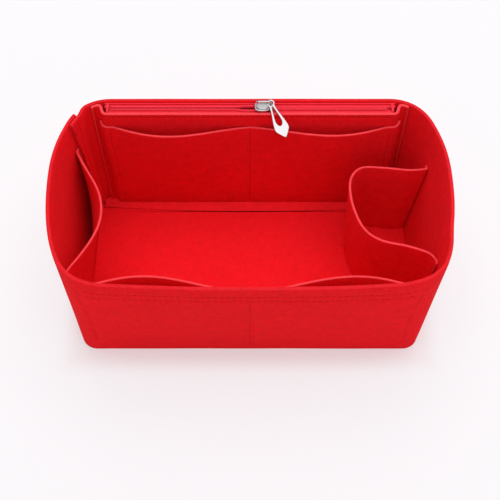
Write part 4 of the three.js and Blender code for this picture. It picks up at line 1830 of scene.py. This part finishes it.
@dataclass
class Zipper:
    """Tapes, two rows of wound coil and the folded tape ends."""

    plan: TubPlan
    panel: ZipPanel
    wardrobe: Wardrobe
    lines: int = 90
    tape: float = 0.6
    below_rim: float = 2.8
    drop: float = 9.0
    edge: float = 1.3
    coil_reach: float = 4.2
    climb: float = 1.5
    fold_steps: int = 5
    fold_lead: float = 4.0
    fold_angle: float = 50.0
    half_length: float = 108.6
    rear_longer: float = 1.6
    coil_half: float = 106.6
    coil_steps: int = 12
    coil_sides: int = 6
    squareness: float = 0.8
    pitch: float = 2.2
    coil_width: float = 2.3
    coil_height: float = 1.6
    lift: float = 0.1
    overlap: float = 0.4
    filament: float = 0.36
    filler: float = 0.34
    filler_lines: int = 120
    run_share: float = 0.8
    spread_at: float = 1.3
    spread_end: float = 0.35
    mouth: float = 6.5
    closing: float = 4.6
    parting: float = 8.0
    meeting: float = 12.0
    tab_length: float = 1.8
    tab_height: float = 1.5
    tab_shoulder: float = 0.6
    tab_rounding: float = 0.3

    @property
    def tape_foot(self) -> float:
        """Height of the tape's under side."""
        return self.plan.height - self.below_rim

    @property
    def depth(self) -> float:
        """Depth of the zipper's middle line."""
        back = float(self.plan.back_depth(0.0, self.tape_foot, self.plan.band)[0])
        return (back + self.panel.front(self.tape_foot) + self.panel.thickness) / 2

    def face(self, side: int, height: float) -> float:
        """Find the felt that a tape is sewn to.

        Args:
            side: 1 for the rear tape and -1 for the front one.
            height: The height over the ground.

        Returns:
            The depth of the felt's face along Y, less the gap.
        """
        if side > 0:
            return float(self.plan.back_depth(0.0, height, self.plan.band)[0]) - self.plan.gap
        return self.panel.front(height) + self.panel.thickness + self.plan.gap

    def lie(self, side: int, height: float) -> float:
        """Depth of a tape's middle where it lies on the felt."""
        return self.face(side, height) - side * self.tape / 2

    def spread(self, length: np.ndarray) -> np.ndarray:
        """Part the rows: closed behind the slider, open ahead of it.

        Args:
            length: Lengths along X.

        Returns:
            How far a row stands off the middle at each.
        """
        share = np.clip((length - self.mouth) / self.closing, 0.0, 1.0)
        far = np.clip((self.mouth - self.parting - length) / self.meeting, 0.0, 1.0)
        closed = self.spread_at * (1.0 - eased(share))
        drawn = self.spread_at + (self.spread_end - self.spread_at) * eased(far)
        return np.where(length > self.mouth, closed, drawn)

    def build_tape(self, name: str, side: int, node: str) -> Object:
        """Weave one tape, which lies under its coil and folds down along the felt.

        Args:
            name: The piece's name.
            side: 1 for the rear tape and -1 for the front one.
            node: The solid that it stands for.

        Returns:
            The tape.
        """
        level = self.tape_foot + self.tape / 2
        crest = level + (self.climb if side > 0 else 0.0)
        reach = self.half_length + (self.rear_longer if side > 0 else 0.0)
        start, fold = self.lie(side, crest), self.tape
        run = [(self.depth + side * out, level) for out in (self.edge, self.coil_reach)]
        run += [
            (start - side * fold * (1 - math.sin(angle)), crest - fold * (1 - math.cos(angle)))
            for angle in np.linspace(0.0, math.pi / 2, self.fold_steps)
        ]
        lower = (level - self.fold_lead, self.tape_foot - self.drop)
        run += [(self.lie(side, height), height) for height in lower]
        lengths = np.linspace(-reach, reach, self.lines)
        points = np.array([[(x, y, z) for x in lengths] for y, z in run])
        across = lengths_along(np.array(run))
        piece = grid_piece(name, points, np.stack(np.meshgrid(lengths, across), axis=2))
        solid = piece.modifiers.new("weave", "SOLIDIFY")
        solid.thickness = self.tape * MM
        solid.offset = 0.0
        apply_modifiers(piece)
        smooth_by_angle(piece, self.fold_angle)
        dress(piece, Body.TUB, "zip_tape", [self.wardrobe.tape], node)
        return piece

    def tube(self, centres: np.ndarray, radius: float) -> tuple[np.ndarray, list]:
        """Sweep a round section along a line.

        Args:
            centres: The line's points by three.
            radius: The section's radius.

        Returns:
            The tube's points and faces, closed at its ends.
        """
        sides, last = self.coil_sides, (len(centres) - 1) * self.coil_sides
        along = np.gradient(centres, axis=0)
        along /= np.linalg.norm(along, axis=1)[:, None]
        steady = [0.0, 0.0, 1.0] if abs(along[:, 0]).mean() > self.run_share else [1.0, 0.0, 0.0]
        across = np.cross(along, steady)
        across /= np.linalg.norm(across, axis=1)[:, None]
        third = np.cross(along, across)
        turns = np.arange(sides)[None, :, None] * TWO_PI / sides
        ring = radius * (np.cos(turns) * across[:, None] + np.sin(turns) * third[:, None])
        faces = [
            (row + corner, row + after, row + sides + after, row + sides + corner)
            for row in range(0, last, sides)
            for corner, after in zip(range(sides), [*range(1, sides), 0])
        ]
        faces += [tuple(range(sides))[::-1], tuple(range(last, last + sides))]
        return (centres[:, None] + ring).reshape(-1, 3), faces

    def build_coil(self, name: str, side: int, node: str) -> Object:
        """Wind one row of coil round its filler cord.

        Args:
            name: The piece's name.
            side: 1 for the rear row and -1 for the front one.
            node: The solid that it stands for.

        Returns:
            The coil.
        """
        margin = self.pitch / 4
        turns = int((2 * self.coil_half - 2 * margin - self.pitch / 2) / self.pitch)
        angle = np.arange(turns * self.coil_steps + 1) * TWO_PI / self.coil_steps
        start = -self.coil_half + margin + (self.pitch / 2 if side > 0 else 0.0)
        length = start + self.pitch * angle / TWO_PI
        half = (self.coil_width + self.overlap) / 2 - self.filament
        lane = (self.coil_width - self.overlap) / 2
        turn = np.sign(np.cos(angle)) * np.abs(np.cos(angle)) ** self.squareness
        level = self.tape_foot + self.tape + self.lift + self.coil_height / 2
        rise = self.coil_height / 2 - self.filament
        depth = self.depth + side * (lane + self.spread(length) + half * turn)
        points, faces = self.tube(np.c_[length, depth, level + rise * np.sin(angle)], self.filament)
        core = np.linspace(-self.coil_half + margin, self.coil_half - margin, self.filler_lines)
        cord = np.c_[core, self.depth + side * (lane + self.spread(core)), np.full(len(core), level)]
        more, extra = self.tube(cord, self.filler)
        faces += [tuple(len(points) + corner for corner in face) for face in extra]
        piece = mesh_piece(name, np.vstack([points, more]), faces)
        face_outwards(piece, weld=False)
        return dress(piece, Body.TUB, "zip_coil", [self.wardrobe.coil], node)

    def build_tab(self, name: str, sign: int, node: str) -> Object:
        """Fold one tape end over.

        Args:
            name: The piece's name.
            sign: 1 for the right end and -1 for the left one.
            node: The solid that it stands for.

        Returns:
            The folded end.
        """
        reach = self.face(1, self.tape_foot) - self.depth - self.tape
        foot = self.tape_foot + self.tape + self.plan.gap
        shoulder, top = self.tab_height / 2, foot + self.tab_height
        right = [(reach, foot), (reach, foot + shoulder * self.tab_shoulder), (reach - shoulder, top)]
        outline = np.array(right + [(-x, y) for x, y in reversed(right)])
        tab = outline_plate(name, [outline], self.tab_length, self.tab_rounding)
        middle = sign * (self.half_length - self.tab_length / 2)
        turn = Matrix(((0, 0, 1, middle * MM), (1, 0, 0, self.depth * MM), (0, 1, 0, 0), (0, 0, 0, 1)))
        return dress(place(tab, turn), Body.TUB, "zip_tape", [self.wardrobe.tape], node)

    def build(self) -> list[Object]:
        """Build the whole zipper but its slider.

        Returns:
            Its pieces.
        """
        return [
            self.build_tape("rear_tape", 1, "zipper_tape_rear"),
            self.build_tape("front_tape", -1, "zipper_tape_front"),
            self.build_coil("rear_coil", 1, "zipper_coil_rear"),
            self.build_coil("front_coil", -1, "zipper_coil_front"),
            self.build_tab("tape_fold_left", -1, "zip_end_tab_left"),
            self.build_tab("tape_fold_right", 1, "zip_end_tab_right"),
        ]


@dataclass
class Slider:
    """The slider: two plates joined by a wedge, side flanges and a bridge for the pull."""

    zipper: Zipper
    wardrobe: Wardrobe
    rest: float = 10.5
    length: float = 14.0
    half_width: float = 4.8
    tail_half: float = 3.6
    under_half: float = 3.9
    under_tail: float = 2.8
    plate: float = 1.0
    play: float = 0.3
    channel_mouth: float = 3.95
    channel_tail: float = 2.8
    flange_inset: float = 0.05
    flange_least: float = 0.25
    wedge_half: float = 0.7
    wedge_length: float = 4.6
    wedge_taper: float = 1.6
    wedge_tip: float = 0.05
    bridge_span: float = 5.0
    bridge_leg: float = 1.6
    bridge_width: float = 1.8
    bridge_clear: float = 4.7
    bridge_thickness: float = 1.2
    bridge_shoulder: float = 1.8
    inner_shoulder: float = 0.45
    lip_rise: float = 0.4
    lip_width: float = 1.2
    lip_inset: float = 0.15
    deck_rounding: float = 0.42
    rounding: float = 0.4
    flange_rounding: float = 0.12
    wedge_rounding: float = 0.1
    rings: int = 3
    side_lines: int = 36
    corner_lines: int = 7
    edge_angle: float = 35.0
    mouth_shares: tuple = ((-1, 0.45), (-0.9, 0.74), (-0.62, 0.95), (-0.25, 1), (0.2, 0.96))
    tail_shares: tuple = ((0.7, 1), (0.93, 0.8), (1, 0.5))

    @property
    def roof(self) -> float:
        """Height of the top plate's under side."""
        zipper = self.zipper
        return zipper.tape_foot + zipper.tape + zipper.lift + zipper.coil_height + self.play

    @property
    def deck(self) -> float:
        """Height of the top plate's upper side."""
        return self.roof + self.plate

    def side_line(self, width: float, tail: float) -> np.ndarray:
        """Draw one side of the egg-shaped plate, from mouth to tail.

        Args:
            width: Its half width.
            tail: The half width of its tail.

        Returns:
            Points by two.
        """
        half = self.length / 2
        knots = [(x * half, y * width) for x, y in self.mouth_shares]
        knots += [(x * half, y * tail) for x, y in self.tail_shares]
        return smooth_open(np.array(knots), np.linspace(0.0, 1.0, self.side_lines))

    def egg(self, width: float, tail: float, shorter: float = 0.0) -> np.ndarray:
        """The plate's whole outline, of two half widths and with each end so much shorter."""
        line = self.side_line(width, tail) * (1.0 - shorter / self.length * 2, 1.0)
        return np.vstack([line, line[::-1] * (1, -1)])[::-1]

    def lip(self) -> Object:
        """Cast the raised bead round the top plate's edge.

        Returns:
            The bead.
        """
        rings = [
            self.egg(self.half_width - inset, self.tail_half - inset, inset)
            for inset in (self.lip_inset, self.lip_inset + self.lip_width)
        ]
        return raised_plate("lip", rings, self.roof + self.plate / 2, self.plate / 2 + self.lip_rise,
                            self.rounding, self.rings)

    def flange(self, name: str, sign: int) -> Object:
        """Cast the side wall between the top plate and the channel.

        Args:
            name: The piece's name.
            sign: 1 for the rear side and -1 for the front one.

        Returns:
            The flange.
        """
        half = self.length / 2
        outer = self.side_line(self.half_width - self.flange_inset, self.tail_half - self.flange_inset)
        marks = (-half, -half + self.wedge_length - self.wedge_taper, 0.0, half)
        widths = (self.channel_mouth, self.channel_mouth, self.channel_tail, self.channel_tail)
        lane = np.interp(outer[:, 0], marks, widths)
        keep = outer[:, 1] > lane + self.flange_least
        outline = np.vstack([outer[keep], np.c_[outer[keep][:, 0], lane[keep]][::-1]]) * (1, sign)
        foot = self.zipper.tape_foot + self.zipper.tape + self.play
        tall = self.roof - foot + self.plate / 2
        return raised_plate(name, [outline[:: -sign]], foot, tall, self.flange_rounding)

    def wedge(self) -> Object:
        """Cast the wedge that parts the two rows.

        Returns:
            The wedge.
        """
        mouth = -self.length / 2
        knots = [
            (mouth + self.play, self.wedge_half / 2),
            (mouth + 2 * self.play, self.wedge_half),
            (mouth + self.wedge_length - self.wedge_taper, self.wedge_half),
            (mouth + self.wedge_length, self.wedge_tip),
        ]
        outline = np.array(knots + [(x, -y) for x, y in reversed(knots)])[::-1]
        foot = self.zipper.tape_foot - self.play - self.plate / 2
        tall = self.roof + self.plate / 2 - foot
        return raised_plate("wedge", [outline], foot, tall, self.wedge_rounding)

    def bridge(self) -> Object:
        """Cast the bridge, an arch over the top plate with rounded shoulders.

        Returns:
            The bridge.
        """
        outer = self.bridge_span + self.bridge_leg / 2
        inner = self.bridge_span - self.bridge_leg / 2
        crown, foot = self.bridge_clear + self.bridge_thickness, -self.plate / 2
        quarter = np.linspace(0.0, math.pi / 2, self.corner_lines)
        shoulder, inside = self.bridge_shoulder, self.bridge_shoulder * self.inner_shoulder
        right = [(outer, foot), *arc(shoulder, (outer - shoulder, crown - shoulder), quarter)]
        hollow = arc(inside, (inner - inside, self.bridge_clear - inside), quarter[::-1])
        left = [(-x, y) for x, y in reversed(right)]
        under = [(-x, y) for x, y in reversed(hollow)]
        outline = np.array([*right, *left, (-inner, foot), *under, *hollow, (inner, foot)])
        strap = outline_plate("bridge", [outline], self.bridge_width, self.rounding, self.rings)
        turn = Matrix(((1, 0, 0, 0), (0, 0, -1, 0), (0, 1, 0, self.deck * MM), (0, 0, 0, 1)))
        return place(strap, turn)

    def build(self) -> Object:
        """Cast the slider in one piece.

        Returns:
            The slider.
        """
        deck, sole = self.egg(self.half_width, self.tail_half), self.egg(self.under_half, self.under_tail)
        under = self.zipper.tape_foot - self.play - self.plate
        casts = [
            raised_plate("deck", [deck], self.roof, self.plate, self.deck_rounding, self.rings),
            self.lip(),
            raised_plate("sole", [sole], under, self.plate, self.rounding, self.rings),
            self.flange("rear_flange", 1),
            self.flange("front_flange", -1),
            self.wedge(),
            self.bridge(),
        ]
        slider = join(casts, "slider_casting")
        place(slider, Matrix.Translation((self.rest * MM, self.zipper.depth * MM, 0)))
        smooth_by_angle(slider, self.edge_angle)
        return dress(slider, Body.SLIDER, "zip_metal", [self.wardrobe.metal], "slider_body")


@dataclass
class PullTab:
    """The pull: a pointed leaf with a teardrop slot, its eye round the bridge's tail leg."""

    slider: Slider
    wardrobe: Wardrobe
    thickness: float = 1.4
    pivot_rise: float = 3.2
    reach: float = 29.0
    half_width: float = 5.5
    eye_outer: float = 3.1
    eye_hole: float = 1.8
    slot_start: float = 3.6
    slot_narrow: float = 1.0
    point: Pair = (0.6, 0.9)
    tilt: float = 20.0
    swing: float = -67.0
    rounding: float = 0.5
    rings: int = 3
    eye_lines: int = 14
    side_lines: int = 60
    hole_lines: int = 32
    slot_steps: int = 8
    leaf_shares: tuple = ((0.26, 0.52), (0.5, 0.82), (0.66, 0.98), (0.73, 1), (0.79, 0.93), (0.9, 0.52))
    slot_shares: tuple = ((0.48, 0.4), (0.58, 0.36), (0.64, 0.2))
    slot_end: float = 0.5

    def outlines(self) -> list[np.ndarray]:
        """Draw the leaf, its eye and its slot.

        Returns:
            The outer outline and the two holes.
        """
        eye = arc(self.eye_outer, (0.0, 0.0), np.linspace(math.pi, math.pi / 4, self.eye_lines))
        leaf = [(x * self.reach, y * self.half_width) for x, y in self.leaf_shares]
        back, wide = self.point
        knots = np.array([eye[-2], eye[-1], *leaf, (self.reach - back, wide), (self.reach, 0.0)])
        first = 1.0 / (len(knots) - 1)
        side = np.vstack([eye[:-1], smooth_open(knots, np.linspace(first, 1.0, self.side_lines))])
        side[0, 1] = side[-1, 1] = 0.0
        outer = np.vstack([side, side[1:-1][::-1] * (1, -1)])[::-1]
        turns = np.linspace(0.0, TWO_PI, self.hole_lines, endpoint=False)
        hole = np.array(arc(self.eye_hole, (0.0, 0.0), turns))
        slot = [(self.slot_start, self.slot_narrow / 2)]
        slot += [(x * self.reach, y * self.half_width) for x, y in self.slot_shares]
        far = (self.slot_shares[-1][0] * self.reach + self.slot_end, 0.0)
        closed = [*slot, far, *((x, -y) for x, y in reversed(slot)), (self.slot_start - self.slot_end, 0.0)]
        return [outer, hole, smooth_closed(closed, self.slot_steps)]

    def build(self) -> Object:
        """Cast the pull and hang it.

        Returns:
            The pull.
        """
        pull = outline_plate("pull_leaf", self.outlines(), self.thickness, self.rounding, self.rings)
        slider = self.slider
        height = slider.deck + self.pivot_rise
        pivot = Vector((slider.rest + slider.bridge_span, slider.zipper.depth, height)) * MM
        tilt = Matrix.Rotation(math.radians(self.tilt), 4, "X")
        swing = Matrix.Rotation(math.radians(self.swing), 4, "Z")
        place(pull, Matrix.Translation(pivot) @ tilt @ swing)
        return dress(pull, Body.PULL, "zip_metal", [self.wardrobe.metal], "pull_tab")


# The studio


@dataclass(frozen=True)
class Lamp:
    """A soft square lamp, its place and side in metres and its power in watts."""

    name: str
    place: Triple
    side: float
    power: float

    def hang(self) -> None:
        """Hang it, aimed at the middle of the base and unseen in reflections."""
        bpy.ops.object.light_add(type="AREA", location=self.place)
        lamp = bpy.context.object
        lamp.name = lamp.data.name = self.name
        lamp.data.size = self.side
        lamp.data.energy = self.power
        lamp.rotation_euler = (-Vector(self.place)).to_track_quat("-Z", "Y").to_euler()
        lamp.visible_glossy = False


@dataclass
class Studio:
    """The camera, the pale floor and soft light.

    The eye is in millimetres, the pitch in degrees and the focal length in the frame's pixels.
    """

    eye: Triple = (0.0, -348.2, 612.0)
    pitch: float = 59.0
    focal: float = 850.0
    frame: float = 500.0
    sensor: float = 36.0
    nearest: float = 0.01
    lamps: tuple[Lamp, ...] = (
        Lamp("top_panel", (0.12, -0.05, 1.5), 1.5, 12.2),
        Lamp("rear_panel", (0.0, 0.9, 1.3), 1.2, 6.2),
    )
    floor_side: float = 14.0
    floor_drop: float = 0.0002
    floor_shade: float = 0.845
    floor_grain: float = 0.01
    floor_noise: Pair = (3.0, 2.0)
    floor_tint: Triple = (1.0, 0.985, 1.0)
    floor_roughness: float = 0.9
    floor_specular: float = 0.1
    shadow_box: Pair = (132.0, 75.0)
    veil_reach: float = 0.02
    veil: float = 0.32
    veil_growth: float = 0.4
    glow: float = 0.96
    glow_tint: Triple = (0.99, 0.975, 1.0)
    world_tint: Triple = (1.0, 0.985, 0.995)
    ambient: float = 0.676
    horizon: float = 0.2
    zenith: float = 1.35
    sky_span: Pair = (0.6, 0.9)

    def build(self) -> None:
        """Set up the camera, the floor, the world and the lamps."""
        self.camera()
        self.floor()
        self.world()
        for lamp in self.lamps:
            lamp.hang()

    def camera(self) -> None:
        """Place the camera at the photograph's angle."""
        bpy.ops.object.camera_add(
            location=Vector(self.eye) * MM, rotation=(math.radians(90.0 - self.pitch), 0.0, 0.0)
        )
        camera = bpy.context.object
        camera.data.sensor_width = self.sensor
        camera.data.lens = self.sensor * self.focal / self.frame
        camera.data.clip_start = self.nearest
        bpy.context.scene.camera = camera

    def floor(self) -> None:
        """Lay a wide pale floor, veiled in white for the camera and most so away from the shadow."""
        bpy.ops.mesh.primitive_plane_add(size=self.floor_side, location=(0.0, 0.0, -self.floor_drop))
        floor = bpy.context.object
        floor.name = "studio_floor"
        material = bpy.data.materials.new("pale_floor")
        material.use_nodes = True
        tree = material.node_tree
        shader = tree.nodes["Principled BSDF"]
        scale, detail = self.floor_noise
        grain = add_node(tree, "TexNoise", {}, {"Scale": scale, "Detail": detail}).outputs["Fac"]
        shade = math_node(tree, "MULTIPLY_ADD", grain, self.floor_grain, self.floor_shade)
        seen = add_node(tree, "LightPath").outputs["Is Camera Ray"]
        split = add_node(tree, "SeparateXYZ", {}, {0: own_coords(tree)}).outputs
        past = [
            math_node(tree, "SUBTRACT", math_node(tree, "ABSOLUTE", split[axis]), half * MM)
            for axis, half in enumerate(self.shadow_box)
        ]
        away = eased_range(tree, math_node(tree, "MAXIMUM", *past), (0.0, self.veil_reach))
        veil = math_node(tree, "MULTIPLY_ADD", away, self.veil_growth, self.veil)
        veil = math_node(tree, "MULTIPLY", seen, veil)
        shade = math_node(tree, "MULTIPLY", shade, math_node(tree, "SUBTRACT", 1.0, veil))
        wire(tree, shader, {
            "Base Color": shaded(tree, self.floor_tint, shade),
            "Roughness": self.floor_roughness,
            "Specular IOR Level": self.floor_specular,
        })
        strength = math_node(tree, "MULTIPLY", veil, self.glow)
        lift = add_node(tree, "Emission", {}, {"Color": (*self.glow_tint, 1.0), "Strength": strength})
        added = add_node(tree, "AddShader", {}, {0: shader.outputs[0], 1: lift.outputs[0]})
        wire(tree, tree.nodes["Material Output"], {"Surface": added.outputs[0]})
        floor.data.materials.append(material)

    def world(self) -> None:
        """Light from all round, seen as white, and mirrored as a bright sky over a dark horizon."""
        world = bpy.data.worlds.new("studio_world")
        bpy.context.scene.world = world
        world.use_nodes = True
        tree = world.node_tree
        path = add_node(tree, "LightPath").outputs
        seen = math_node(tree, "MAXIMUM", path["Is Camera Ray"], path["Is Transmission Ray"])
        ahead = add_node(tree, "TexCoord").outputs["Generated"]
        rise = add_node(tree, "SeparateXYZ", {}, {0: ahead}).outputs[2]
        sky = eased_range(tree, rise, self.sky_span, (self.horizon, self.zenith))
        light = either(tree, path["Is Glossy Ray"], self.ambient, sky)
        wire(tree, tree.nodes["Background"], {
            "Color": (*self.world_tint, 1.0),
            "Strength": either(tree, seen, light, 1.0),
        })


# The whole insert


def main() -> None:
    """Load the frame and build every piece."""
    logging.basicConfig(level=logging.INFO, format="%(message)s")
    noise.seed_set(SEED)
    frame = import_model()
    bpy.context.scene.view_settings.view_transform = "Standard"
    deselect()
    Studio().build()
    plan = TubPlan()
    wardrobe = Wardrobe()
    wall = OuterWall(plan, wardrobe, rests_on=("bottom_panel",))
    panel = ZipPanel(plan, wardrobe, rests_on=("outer_wall",))
    sheets: list[FeltSheet] = [
        wall,
        panel,
        BackPocket(plan, wardrobe, rests_on=("zip_pocket_panel",)),
        FrontPocket(plan, wardrobe, rests_on=("outer_wall",)),
        LeftPocket(plan, wardrobe, rests_on=("outer_wall",)),
        BottleHolder(plan, wardrobe, rests_on=("outer_wall",)),
    ]
    for sheet in sheets:
        sheet.build()
    Floor(plan, wall, wardrobe).build()
    zipper = Zipper(plan, panel, wardrobe)
    zipper.build()
    slider = Slider(zipper, wardrobe)
    slider.build()
    PullTab(slider, wardrobe).build()
    stiffener = frame["nodes"]["base_stiffener"]
    stiffener.data.materials.clear()
    stiffener.data.materials.append(wardrobe.plastic)


if __name__ == "__main__":
    main()
